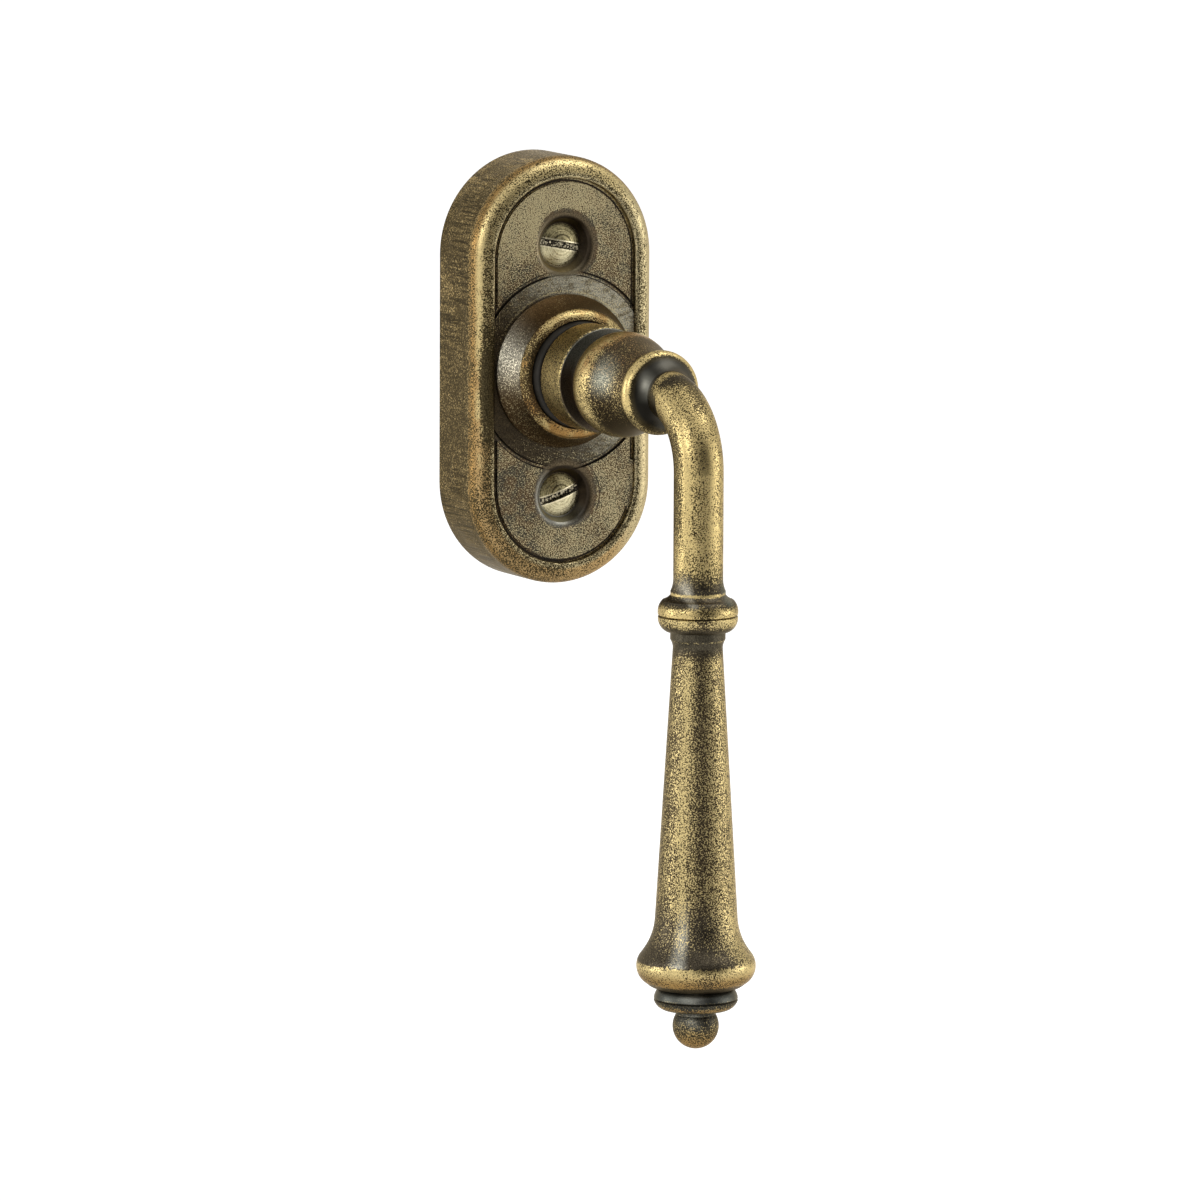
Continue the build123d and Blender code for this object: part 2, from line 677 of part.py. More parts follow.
def tie_rod(clearance=0.0):
    """Stud through the grip from the lever into the ball, or with a clearance its tapped holes."""
    top = JOINT_Z + TIE_REACH + clearance
    bottom = BALL_Z - clearance
    return Pos(0, -PROJECTION, (top + bottom) / 2) * Cylinder(TIE_RADIUS + clearance, top - bottom)


def fixing_screw(z, turn):
    """Slotted raised countersunk screw with a thinner shank behind its head."""
    rim = SCREW_HEAD_RIM
    tip = rim - SCREW_LENGTH
    screw = turned_screw(
        z,
        (0, tip),
        (SCREW_RADIUS - SCREW_TIP, tip),
        (SCREW_RADIUS, tip + SCREW_TIP),
        (SCREW_RADIUS, tip + THREAD_LENGTH),
        (SCREW_SHANK_RADIUS, tip + THREAD_LENGTH),
        (SCREW_SHANK_RADIUS, rim - SCREW_HEAD_DEPTH),
        (SCREW_HEAD_RADIUS, rim),
        (0, rim),
    )
    dome_radius = (SCREW_HEAD_RADIUS ** 2 + SCREW_DOME ** 2) / (2 * SCREW_DOME)
    ball = Pos(0, dome_radius - rim - SCREW_DOME, z) * Sphere(dome_radius)
    screw += ball & disc(SCREW_HEAD_RADIUS, rim, rim + SCREW_DOME, z=z)
    slot_floor = rim + SCREW_DOME - SLOT_DEPTH
    slot = block(2 * SCREW_HEAD_RADIUS, SLOT_WIDTH, slot_floor, rim + SCREW_DOME)
    return screw - Pos(0, 0, z) * Rot(0, -turn, 0) * slot


def fixing_screws():
    """Upper and lower screw, with their slots left as they stopped."""
    return Compound([fixing_screw(SCREW_Z, UPPER_SLOT_TURN), fixing_screw(-SCREW_Z, LOWER_SLOT_TURN)])


PARTS = {
    "rosette": rosette(),
    "base_plate": base_plate(),
    "plate_screws": plate_screws(),
    "locating_lugs": locating_lugs(),
    "movement_housing": movement_housing(),
    "left_leaf_spring": leaf_spring(-1),
    "right_leaf_spring": leaf_spring(1),
    "index_cam": index_cam(),
    "spindle": spindle(),
    "spindle_pin": spindle_pin(),
    "neck_bush": neck_bush(),
    "thrust_washer": thrust_washer(),
    "spring_washer": spring_washer(),
    "retaining_ring": retaining_ring(),
    "lever": lever(),
    "grip": grip(),
    "end_collar": end_collar(),
    "finial": finial(),
    "tie_rod": tie_rod(),
    "fixing_screws": fixing_screws(),
}

os.makedirs("parts", exist_ok=True)
for name, solid in PARTS.items():
    export_step(solid, f"parts/{name}.step")
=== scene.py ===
"""Looks of the window handle: aged brass, seen as in the photograph, on a plain pale ground.

Lengths are in millimetres, except where a comment says metres. The finishes follow the axes of the
CAD source: x to the right, z up from the spindle's axis, and out away from the window.
"""

import json
import math
from types import SimpleNamespace

import bmesh
import bpy
from mathutils import Matrix, Vector


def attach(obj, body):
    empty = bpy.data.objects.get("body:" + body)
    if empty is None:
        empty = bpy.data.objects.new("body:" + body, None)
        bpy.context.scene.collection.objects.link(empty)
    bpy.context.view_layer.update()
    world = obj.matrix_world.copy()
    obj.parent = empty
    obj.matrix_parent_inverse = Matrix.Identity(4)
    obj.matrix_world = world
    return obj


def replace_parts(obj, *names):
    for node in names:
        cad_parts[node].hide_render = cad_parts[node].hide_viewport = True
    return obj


MM = 0.001

# Camera, fitted to the photograph: degrees, pixels and metres
AZIMUTH = -27.93
ELEVATION = 8.0
ROLL = 0.25
DISTANCE = 1.9027
NEAR_CLIP = 0.1
FAR_CLIP = 20.0
IMAGE_SIDE = 1200
PIXELS_PER_METRE = 5817.0
ORIGIN_PIXEL = (528.984, 362.643)
SENSOR = 36.0

# Lamps: name, place, side and radiance, in metres
LAMPS = (
    ("left_lamp", (-1.07, 0.43, 0.12), 0.6, 2.8),
    ("front_left_lamp", (-0.98, -0.4, 0.43), 0.5, 2.8),
    ("top_lamp", (0.5, -0.22, 0.95), 0.75, 2.6),
    ("right_lamp", (1.05, -0.5, -0.04), 0.6, 2.4),
)

# Surroundings: strengths, metres and degrees
WORLD_LIGHT = 0.5
WORLD_SEEN = 1.0
FLOOR_Z = -0.16
FLOOR_RADIUS = 6.0
FLOOR_SIDES = 96
FLAG_DISTANCE = 0.9
FLAG_ELEVATION = -5.0
FLAG_WIDTH = 1.0
FLAG_HEIGHT = 1.3

# Rosette, with the same sizes as its solid. OUT is a distance out from the window
HALF_WIDTH = 17.25
HALF_STRAIGHT_SIDE = 19.55
WALL_FRONT_OUT = 10.55
FACE_OUT = 13.0
BORDER_WIDTH = 3.75
HUB_RADIUS = 13.2
HUB_LIP_RADIUS = 11.1
HUB_LIP_OUT = 17.95
ARC_GROOVE_RADIUS = 16.35
DISH_RADIUS = 5.6
WORN_Z = -22.5
SCRATCH_Z = -22.5

# Neck: where its parts start and end, out from the window, and the arm that follows it
BAND_BACK = 21.5
BAND_FRONT = 28.4
BULB_BACK = 31.9
SHOULDER_FRONT = 37.5
BULB_FRONT = 46.0
RIM_FRONT = 49.1
COVE_FRONT = 53.4
TUBE_RADIUS = 4.2
PROJECTION = 61.5

# Grip and finial: heights of the collar's middle, the bell, the grip's end and the ball
JOINT_Z = -36.0
BELL_Z = -87.4
GRIP_END_Z = -99.3
FINIAL_Z = -101.15
BALL_Z = -105.75

# Fixing screws, M4 raised countersunk with a slot
SCREW_Z = 21.5
SCREW_RIM_OUT = 11.2
SCREW_HEAD_RADIUS = 3.75
SCREW_DOME = 0.95
SCREW_HEAD_DEPTH = 2.1
SCREW_EDGE = 0.06
SCREW_SHANK_RADIUS = 1.8
SCREW_RADIUS = 2.0
SCREW_ROOT_RADIUS = 1.62
SCREW_PITCH = 0.7
SCREW_LENGTH = 35.0
SCREW_TIP = 0.6
TIP_RADIUS = 0.648
TIP_DEPTH = 0.2
THREAD_LENGTH = 12.5
THREAD_END = 1.2
SLOT_WIDTH = 1.15
SLOT_DEPTH = 1.0
UPPER_SLOT_TURN = -11.0
LOWER_SLOT_TURN = 18.0

# How finely the screws are built, and the angle from which an edge shows as sharp
SCREW_SIDES = 64
TURN_STEPS = 12
DOME_STEPS = 12
SHARP_ANGLE = 35.0

# Colours that several finishes share, linear
GOLD = (0.54, 0.415, 0.18)
PALE_GOLD = (0.46, 0.385, 0.215)
OLIVE = (0.065, 0.05, 0.024)
BROWN = (0.055, 0.034, 0.015)
# Painted highlight on the left of the hub's flank
SILVER = (0.2, 0.185, 0.145)
# Painted shade in grooves, slots, hollows and inside the hub
BLACK = (0.016, 0.013, 0.01)
BUSH_BLACK = (0.012, 0.01, 0.007)
MOULDED_BLACK = (0.03, 0.03, 0.032)
ZINC_GREY = (0.33, 0.335, 0.335)
SPRING_GREY = (0.42, 0.42, 0.43)
WHITE = (1.0, 1.0, 1.0)
EDGE_TINT = (0.88, 0.8, 0.67, 1.0)

# Aged brass: roughness, how much wear counts against grain, and the levels where metal shows
PATINA_ROUGHNESS = 0.42
EVEN_ROUGHNESS = 0.33
BARE_ROUGHNESS = 0.28
WEAR_WEIGHT = 0.42
BARE_FROM = 0.41
BARE_FULL = 0.54

# Noise seldom leaves this range
NOISE_LOW = 0.3
NOISE_HIGH = 0.7

# Rays that look for a hollow round each point
HOLLOW_RAYS = 6


def direction(azimuth, elevation):
    """Unit vector from the object to where these angles in degrees point, 0, 0 being its front."""
    turn = math.radians(azimuth)
    rise = math.radians(elevation)
    return Vector((
        math.sin(turn) * math.cos(rise),
        -math.cos(turn) * math.cos(rise),
        math.sin(rise),
    ))


def camera_axes():
    """Right, up and back of the camera as world directions."""
    back = direction(AZIMUTH, ELEVATION)
    right = direction(AZIMUTH + 90.0, 0.0)
    up = back.cross(right)
    roll = math.radians(ROLL)
    turned_right = right * math.cos(roll) + up * math.sin(roll)
    turned_up = up * math.cos(roll) - right * math.sin(roll)
    return turned_right, turned_up, back


def add_camera():
    """Camera that puts the object's origin on its pixel, at the photograph's scale."""
    right, up, back = camera_axes()
    half = IMAGE_SIDE / 2
    across = (half - ORIGIN_PIXEL[0]) / PIXELS_PER_METRE
    along = (ORIGIN_PIXEL[1] - half) / PIXELS_PER_METRE
    data = bpy.data.cameras.new("camera")
    data.sensor_width = SENSOR
    data.lens = SENSOR * DISTANCE * PIXELS_PER_METRE / IMAGE_SIDE
    data.clip_start = NEAR_CLIP
    data.clip_end = FAR_CLIP
    camera = bpy.data.objects.new("camera", data)
    bpy.context.scene.collection.objects.link(camera)
    camera.location = back * DISTANCE + right * across + up * along
    camera.rotation_mode = "QUATERNION"
    camera.rotation_quaternion = Matrix((right, up, back)).transposed().to_quaternion()
    bpy.context.scene.camera = camera


def add_lamp(name, place, side, radiance):
    """Soft square lamp, turned towards the object and as bright as its radiance says."""
    data = bpy.data.lights.new(name, "AREA")
    data.shape = "SQUARE"
    data.size = side
    data.energy = radiance * math.pi * side * side
    lamp = bpy.data.objects.new(name, data)
    bpy.context.scene.collection.objects.link(lamp)
    lamp.location = place
    lamp.rotation_mode = "QUATERNION"
    lamp.rotation_quaternion = Vector(place).to_track_quat("Z", "Y")


def add_object(name, made):
    """New object in the scene, from a bmesh that is then freed."""
    mesh = bpy.data.meshes.new(name)
    made.to_mesh(mesh)
    made.free()
    piece = bpy.data.objects.new(name, mesh)
    bpy.context.scene.collection.objects.link(piece)
    return piece


class Finish:
    """One procedural material, built node by node from the object's own coordinates.

    A mask is a value that is one where something is and nothing elsewhere.
    """

    def __init__(self, name):
        self.material = bpy.data.materials.new(name)
        self.material.use_nodes = True
        self.nodes = self.material.node_tree.nodes
        self.links = self.material.node_tree.links
        self.shader = self.nodes["Principled BSDF"]
        self.place = self.nodes.new("ShaderNodeTexCoord").outputs["Object"]
        split = self.nodes.new("ShaderNodeSeparateXYZ")
        self.links.new(self.place, split.inputs[0])
        self.x, self.y, self.z = [self.times(part, 1.0 / MM) for part in split.outputs]
        self.out = self.times(self.y, -1.0)

    def feed(self, socket, value):
        """Set a socket to a number or colour, or link it."""
        if isinstance(value, bpy.types.NodeSocket):
            self.links.new(value, socket)
        elif isinstance(value, tuple) and len(value) == 3 and socket.type == "RGBA":
            socket.default_value = (*value, 1.0)
        else:
            socket.default_value = value

    def calc(self, operation, first, second=0.0):
        """Result of one operation on one or two values."""
        node = self.nodes.new("ShaderNodeMath")
        node.operation = operation
        self.feed(node.inputs[0], first)
        self.feed(node.inputs[1], second)
        return node.outputs[0]

    def chain(self, operation, values):
        """All the values joined by one operation, from the first to the last."""
        result = values[0]
        for value in values[1:]:
            result = self.calc(operation, result, value)
        return result

    def plus(self, *values):
        return self.chain("ADD", values)

    def times(self, *values):
        return self.chain("MULTIPLY", values)

    def most(self, *values):
        return self.chain("MAXIMUM", values)

    def minus(self, first, second):
        return self.calc("SUBTRACT", first, second)

    def total(self, base, *terms):
        """Base plus each value of the terms times its amount."""
        for value, amount in terms:
            base = self.plus(base, self.times(value, amount))
        return base

    def hypot(self, first, second):
        """Length of two lengths at right angles."""
        return self.calc("SQRT", self.plus(self.times(first, first), self.times(second, second)))

    def gap(self, value, centre=0.0):
        """How far value is from centre, either way."""
        return self.calc("ABSOLUTE", self.minus(value, centre))

    def ramp(self, value, start, end, low=0.0, high=1.0):
        """Low to high, smoothly, as value goes from start to end."""
        node = self.nodes.new("ShaderNodeMapRange")
        node.interpolation_type = "SMOOTHSTEP"
        self.feed(node.inputs["Value"], value)
        node.inputs["From Min"].default_value = start
        node.inputs["From Max"].default_value = end
        node.inputs["To Min"].default_value = low
        node.inputs["To Max"].default_value = high
        return node.outputs["Result"]

    def near(self, value, centre, reach):
        """Mask that is one at centre and fades to nothing at reach from it."""
        return self.ramp(self.gap(value, centre), reach, 0.0)

    def inside(self, value, low, high, soft):
        """Mask between low and high, with soft ends."""
        return self.times(
            self.ramp(value, low - soft, low + soft),
            self.ramp(value, high + soft, high - soft),
        )

    def outside(self, mask):
        """Mask of where the given one isn't."""
        return self.minus(1.0, mask)

    def noise(self, size, detail=2.0, roughness=0.5, stretch=(1.0, 1.0, 1.0), shift=0.0):
        """Noise with features of about the given size, drawn out along an axis by stretch."""
        mapping = self.nodes.new("ShaderNodeMapping")
        self.links.new(self.place, mapping.inputs["Vector"])
        mapping.inputs["Scale"].default_value = [1.0 / part for part in stretch]
        mapping.inputs["Location"].default_value = (shift, 0.7 * shift, 0.3 * shift)
        node = self.nodes.new("ShaderNodeTexNoise")
        self.links.new(mapping.outputs[0], node.inputs["Vector"])
        node.inputs["Scale"].default_value = 1.0 / (size * MM)
        node.inputs["Detail"].default_value = detail
        node.inputs["Roughness"].default_value = roughness
        return node.outputs["Fac"]

    def vary(self, noise, low, high):
        """Noise spread out over the range from low to high."""
        return self.ramp(noise, NOISE_LOW, NOISE_HIGH, low, high)

    def mix(self, factor, first, second):
        """Colour or number between first and second."""
        node = self.nodes.new("ShaderNodeMix")
        colour = isinstance(first, tuple) or getattr(first, "type", "") in ("RGBA", "VECTOR")
        node.data_type = "RGBA" if colour else "FLOAT"
        kind = "RGBA" if colour else "VALUE"
        sockets = [socket for socket in node.inputs if socket.type == kind and socket.name in "AB"]
        self.feed(node.inputs[0], factor)
        self.feed(sockets[0], first)
        self.feed(sockets[1], second)
        return [socket for socket in node.outputs if socket.type == kind][0]

    def paint(self, base, *coats):
        """Base with each coat, of a mask and a colour or number, laid over what is there."""
        for mask, coat in coats:
            base = self.mix(mask, base, coat)
        return base

    def shade(self, colour, factor):
        """Colour made lighter or darker by a factor."""
        node = self.nodes.new("ShaderNodeVectorMath")
        node.operation = "SCALE"
        self.feed(node.inputs[0], colour)
        self.feed(node.inputs["Scale"], factor)
        return node.outputs[0]

    def open_air(self, reach, closed, clear):
        """Nothing deep in a hollow of about the given reach, and one on open surfaces."""
        node = self.nodes.new("ShaderNodeAmbientOcclusion")
        node.samples = HOLLOW_RAYS
        node.inputs["Distance"].default_value = reach * MM
        return self.ramp(node.outputs["AO"], closed, clear)

    def relief(self, height, depth):
        """Bump of a given depth."""
        node = self.nodes.new("ShaderNodeBump")
        node.inputs["Distance"].default_value = depth * MM
        self.feed(node.inputs["Height"], height)
        self.links.new(node.outputs[0], self.shader.inputs["Normal"])

    def surface(self, colour, metallic, roughness):
        """Give the material its colour, metallic part and roughness, and return it."""
        self.feed(self.shader.inputs["Base Color"], colour)
        self.feed(self.shader.inputs["Metallic"], metallic)
        self.feed(self.shader.inputs["Roughness"], roughness)
        return self.material

    def neck_radius(self):
        """Distance from the spindle's axis."""
        return self.hypot(self.x, self.z)

    def grip_side(self):
        """From -1 at the grip's left to 1 at its right."""
        radius = self.hypot(self.x, self.plus(self.y, PROJECTION))
        return self.calc("DIVIDE", self.x, radius)


def aged_brass(f, wear, patina, gold=GOLD, smooth=0.0, marks=None, cloud=0.45, grit=0.03):
    """Finish of dark patina that wear rubs through to speckled bare metal.

    Wear is about 0 for full patina and 1 for bare metal, smooth is one where the patina is even,
    marks is a height from 0 to 1 of tool marks, cloud is how much the wear varies from place to
    place, and grit is the depth of the grain.
    """
    fine = f.noise(0.22, 1.0)
    sand = f.noise(0.12, 1.0, shift=3.1)
    coarse = f.noise(0.5, 1.0, shift=13.0)
    blotch = f.noise(4.0, 3.0, 0.55, shift=7.7)
    grain = f.total(0.0, (fine, 0.68), (sand, 0.22), (coarse, 0.1))
    spread = f.total(wear, (f.minus(blotch, 0.5), cloud))
    level = f.total(grain, (f.minus(spread, 0.5), WEAR_WEIGHT))
    bare = f.times(f.ramp(level, BARE_FROM, BARE_FULL), f.outside(smooth))
    even = f.mix(smooth, f.vary(fine, 0.5, 1.5), f.vary(blotch, 0.85, 1.15))
    dark = f.shade(patina, even)
    bright = f.shade(gold, f.vary(sand, 0.7, 1.2))
    roughness = f.mix(bare, f.mix(smooth, PATINA_ROUGHNESS, EVEN_ROUGHNESS), BARE_ROUGHNESS)
    height = f.mix(smooth, f.total(0.0, (grain, 0.7), (bare, 0.3)), 0.5)
    if marks is not None:
        height = f.plus(height, marks)
    f.relief(height, grit)
    f.shader.inputs["Specular Tint"].default_value = EDGE_TINT
    return f.surface(f.mix(bare, dark, bright), 1.0, roughness)


def plate_places(f):
    """Distances on the rosette and the masks of its parts.

    Inset is the distance from the outline. Other masks mark one side of each screw's dish, where
    shade is painted, the left of the hub's flank, where a highlight is painted, and what lies below
    and left of the hub, where shade is painted.
    """
    at = SimpleNamespace()
    height = f.gap(f.z)
    past_straight = f.most(f.minus(height, HALF_STRAIGHT_SIDE), 0.0)
    past_screw = f.minus(height, SCREW_Z)
    at.inset = f.minus(HALF_WIDTH, f.hypot(f.x, past_straight))
    at.radius = f.neck_radius()
    at.to_screw = f.hypot(f.x, past_screw)
    at.wall = f.ramp(f.out, WALL_FRONT_OUT + 0.35, WALL_FRONT_OUT - 0.35)
    at.border = f.times(
        f.ramp(at.inset, BORDER_WIDTH - 0.55, BORDER_WIDTH - 1.35), f.outside(at.wall)
    )
    at.slope = f.near(at.inset, BORDER_WIDTH - 0.15, 0.5)
    at.face = f.ramp(at.inset, BORDER_WIDTH - 0.25, BORDER_WIDTH + 0.25)
    at.ledge = f.times(
        f.ramp(at.radius, ARC_GROOVE_RADIUS + 0.6, ARC_GROOVE_RADIUS - 0.1), at.face
    )
    at.hub = f.ramp(at.radius, HUB_RADIUS + 0.1, HUB_RADIUS - 0.1)
    at.lip = f.times(at.hub, f.ramp(f.out, HUB_LIP_OUT - 0.12, HUB_LIP_OUT + 0.08))
    # Side of each screw's dish where shade is painted
    at.lee = f.ramp(f.total(f.x, (past_screw, f.calc("SIGN", f.z))), -5.0, 3.0)
    at.dish = f.ramp(f.total(at.to_screw, (at.lee, -0.7)), DISH_RADIUS + 0.4, DISH_RADIUS - 0.9)
    # Left of the hub's flank, where a highlight is painted
    at.lit = f.times(f.near(f.z, 4.0, 9.0), f.ramp(f.x, -5.5, -12.0))
    # Below and left of the hub, where shade is painted
    at.low_left = f.ramp(f.total(f.z, (f.x, 0.8)), -4.0, -14.0)
    at.open_air = f.open_air(0.6, 0.12, 0.55)
    at.groove = engraved_lines(f, at)
    return at


def engraved_lines(f, at):
    """Mask of painted shade in the lines round both panels, with their worn stretch at lower right.
    """
    sunk = f.times(
        f.ramp(f.out, FACE_OUT - 0.25, FACE_OUT - 0.38),
        f.ramp(at.inset, BORDER_WIDTH - 0.95, BORDER_WIDTH - 0.55),
        f.ramp(at.to_screw, DISH_RADIUS + 0.1, DISH_RADIUS + 0.7),
    )
    right = f.ramp(f.x, -3.0, 5.0)
    worn = f.times(f.near(f.z, WORN_Z, 5.0), right)
    # The shade painted in the side lines is wider on the left than on the right
    left_line = f.near(at.inset, BORDER_WIDTH + 0.3, 0.4)
    right_line = f.near(at.inset, BORDER_WIDTH + 0.42, 0.24)
    side_line = f.times(f.mix(right, left_line, right_line), f.outside(worn))
    panel_arc = f.near(at.radius, ARC_GROOVE_RADIUS + 0.78, 0.28)
    ledge_arc = f.near(at.radius, ARC_GROOVE_RADIUS + 0.1, 0.24)
    return f.times(sunk, f.most(panel_arc, ledge_arc, side_line))


def plate_wear(f, at):
    """Wear of the wall, the border, the two panels and the ledge round the hub."""
    edge = f.times(at.border, f.near(at.inset, 0.95, 0.95))
    panels = f.minus(at.face, at.ledge)
    upper_right = f.ramp(f.total(f.z, (f.x, -0.6)), 17.0, 30.0)
    lower_right = f.ramp(f.total(f.x, (f.z, -0.5)), 14.0, 24.0)
    lower_left = f.times(f.ramp(f.z, -13.0, -17.0), f.ramp(f.x, -2.0, -9.0))
    over_hub = f.times(f.ramp(f.z, 24.0, 15.0), f.ramp(f.z, 8.0, 12.0))
    round_hub = f.times(f.ramp(at.inset, 0.5, 1.5), f.outside(at.hub))
    left_of_hub = f.times(f.ramp(f.x, -4.0, -13.0), f.near(f.z, -2.0, 13.0))
    streak = f.noise(1.6, 2.0, stretch=(1.0, 14.0, 1.0), shift=1.3)
    return f.total(
        f.mix(at.face, 0.33, 0.38),
        # Worn rounded edge, barer along the sides, where it also stands for a painted highlight
        (edge, f.ramp(f.z, -8.0, -24.0, 0.36, 0.08)),
        (edge, f.ramp(f.z, 18.0, 30.0, 0.0, -0.22)),
        (at.border, f.ramp(f.z, 14.0, 26.0, 0.0, 0.1)),
        (at.border, f.ramp(f.x, 7.0, 13.0, 0.0, 0.1)),
        (f.times(at.border, lower_right), 0.2),
        (f.times(at.face, upper_right), 0.14),
        (f.times(at.face, lower_left), -0.13),
        (f.times(panels, over_hub), -0.1),
        # Less wear on the ledge where shade is painted below left of the hub
        (f.times(at.ledge, at.low_left), -0.16),
        (at.ledge, f.ramp(f.z, -15.6, -13.0, 0.0, -0.16)),
        # Painted shade left of the hub
        (f.times(round_hub, left_of_hub), -0.6),
        (at.slope, f.ramp(f.z, 4.0, 12.0, 0.06, 0.2)),
        # Lighter at the top of the wall and darker towards its bottom, as painted light and shade
        (at.wall, f.ramp(f.z, 24.0, 36.0, -0.14, 0.0)),
        (at.wall, f.ramp(f.z, -18.0, -30.0, 0.0, -0.14)),
        (f.times(at.wall, f.minus(streak, 0.5)), 0.25),
        # Less wear in each dish, and painted shade on its shaded side
        (at.dish, f.mix(at.lee, -0.45, -1.1)),
    )


def hub_wear(f, at):
    """Wear of the raised hub, whose flank is dim and whose lip is golden."""
    # Painted shade on the lip's inner slope, next to the gap
    lip_inside = f.times(at.lip, f.ramp(at.radius, HUB_LIP_RADIUS - 0.8, HUB_LIP_RADIUS - 1.4))
    lip = f.total(
        0.55,
        (lip_inside, -0.22),
        (f.ramp(f.x, -5.0, -9.0), -0.28),
        (f.ramp(f.z, -6.0, -10.0), 0.14),
    )
    # The flank is more worn low down and where its highlight is painted
    flank = f.total(f.ramp(f.z, 6.0, -8.0, -0.02, 0.2), (at.lit, 0.36))
    return f.mix(at.lip, flank, lip)


def plate_scratches(f, at):
    """Mask of an arc scribed round the lower screw's seat and a short scratch left of it."""
    scribed = f.times(
        f.near(at.to_screw, DISH_RADIUS + 1.3, 0.22),
        f.ramp(f.x, 1.0, 4.0),
        f.ramp(f.z, -10.0, -16.0),
        f.ramp(f.z, -27.0, -23.0),
    )
    across = f.total(f.x, (f.minus(f.z, SCRATCH_Z), -0.65))
    scratch = f.times(
        f.near(across, -6.6, 0.2),
        f.inside(f.z, SCRATCH_Z - 2.5, SCRATCH_Z + 2.0, 0.6),
    )
    return f.times(f.most(scribed, scratch), at.face)


def ledge_patina(f, at):
    """Grey of the ledge round the hub, paler towards the right, with stains."""
    dark_end = (0.045, 0.035, 0.023)
    pale_end = (0.25, 0.235, 0.18)
    stain_brown = (0.08, 0.062, 0.036)
    soot = (0.03, 0.023, 0.014)
    cloudy = f.minus(f.noise(2.4, 4.0, 0.7, shift=8.0), 0.5)
    # Paler towards the upper right, as a painted sheen
    rising = f.total(0.0, (f.z, 0.4), (f.x, 1.2), (cloudy, 22.0))
    stain = f.ramp(f.noise(1.1, 4.0, 0.7, stretch=(1.6, 1.0, 0.7), shift=11.0), 0.45, 0.6)
    grey = f.paint(
        dark_end,
        (f.ramp(rising, -13.0, 12.0), pale_end),
        (f.times(stain, 0.7), stain_brown),
        # Painted shade below and left of the hub
        (f.times(at.low_left, 0.6), soot),
    )
    return f.shade(grey, f.ramp(f.z, -7.0, -12.0, 1.2, 1.056))


def plate_patina(f, at, strokes):
    """Patina of the whole rosette."""
    panel_brown = (0.11, 0.076, 0.044)
    panel_green = (0.068, 0.06, 0.044)
    wall_brown = (0.05, 0.036, 0.016)
    # Painted shade on one side of each screw's dish and painted light on the other
    dish_edge = (0.11, 0.084, 0.05)
    dish_shadow = (0.028, 0.021, 0.014)
    upper_dish = (0.17, 0.14, 0.085)
    lower_dish = (0.2, 0.195, 0.165)
    hue = f.ramp(f.noise(2.2, 3.0, 0.6, shift=15.0), 0.4, 0.6)
    # Painted light on the flank's upper left and towards its bottom
    upper_left = f.times(f.near(f.x, -4.5, 6.5), f.ramp(f.z, 5.0, 10.0))
    flank = f.shade(BROWN, f.plus(f.ramp(f.z, -7.0, -12.0, 1.1, 1.5), upper_left))
    dish_light = f.mix(f.ramp(f.z, 2.0, -2.0), upper_dish, lower_dish)
    dish_shade = f.mix(f.ramp(at.to_screw, DISH_RADIUS, DISH_RADIUS - 0.7), dish_edge, dish_shadow)
    return f.paint(
        OLIVE,
        (at.face, f.mix(hue, panel_brown, panel_green)),
        (f.most(at.ledge, f.times(at.slope, 0.3)), ledge_patina(f, at)),
        # Hub: brown flank, with a painted silver highlight on its left
        (at.hub, f.mix(at.lit, flank, f.mix(at.lip, SILVER, OLIVE))),
        (at.wall, f.shade(wall_brown, strokes)),
        (at.dish, f.mix(at.lee, dish_light, dish_shade)),
        # Painted shade in the engraved lines and deep in hollows
        (f.most(at.groove, f.ramp(at.open_air, 0.5, 0.0)), BLACK),
    )


def plate_gold(f, at, strokes):
    """Bare metal of the rosette, redder on its lip and border."""
    copper = (0.36, 0.205, 0.066)
    rust = (0.3, 0.18, 0.062)
    wall_gold = (0.34, 0.25, 0.108)
    # Pale metal for the flank's painted highlight
    bright = (0.6, 0.55, 0.42)
    warm = f.total(f.noise(3.0, 2.0, shift=9.0), (f.z, -0.009))
    tint = f.mix(f.ramp(warm, 0.4, 0.66), GOLD, copper)
    tinted = f.most(at.lip, f.times(at.border, f.ramp(f.x, 8.0, 14.0, 0.7, 0.1)))
    return f.paint(
        PALE_GOLD,
        (tinted, tint),
        (f.times(at.border, f.near(at.inset, 0.2, 0.7)), rust),
        (at.wall, f.shade(wall_gold, strokes)),
        (f.times(at.lit, f.minus(at.hub, at.lip)), bright),
    )


def rosette_finish():
    """Cast plate: speckled panels and border, grey ledge, brown hub flank and golden lip."""
    f = Finish("rosette_brass")
    at = plate_places(f)
    filed = f.noise(0.42, 2.0, 0.6, stretch=(1.0, 22.0, 1.0), shift=5.0)
    patch = f.times(
        f.ramp(f.noise(6.0, 1.0, shift=2.0), 0.4, 0.6),
        f.ramp(f.near(f.z, -6.0, 22.0), 0.9, 0.3),
    )
    strokes = f.mix(patch, 1.0, f.ramp(filed, 0.36, 0.6, 0.4, 1.6))
    marks = f.times(filed, 3.2, patch, at.wall)
    hub_soot = f.ramp(f.z, 4.0, 8.0, -1.1, -0.6)
    foot = f.times(f.near(at.radius, HUB_RADIUS + 0.45, 0.3), f.ramp(f.z, 2.0, 8.0))
    wear = f.total(
        f.mix(at.hub, plate_wear(f, at), hub_wear(f, at)),
        (f.outside(at.open_air), f.mix(at.hub, -1.1, hub_soot)),
        # No bare metal where shade is painted in the engraved lines
        (at.groove, -1.0),
        (plate_scratches(f, at), -0.45),
        (foot, 0.25),
    )
    seat = f.ramp(at.to_screw, DISH_RADIUS + 0.4, DISH_RADIUS - 1.0)
    smooth = f.most(f.times(seat, 0.75), f.times(at.ledge, 0.12))
    patina = plate_patina(f, at, strokes)
    gold = plate_gold(f, at, strokes)
    return aged_brass(f, wear, patina, gold, smooth, marks, grit=0.05)


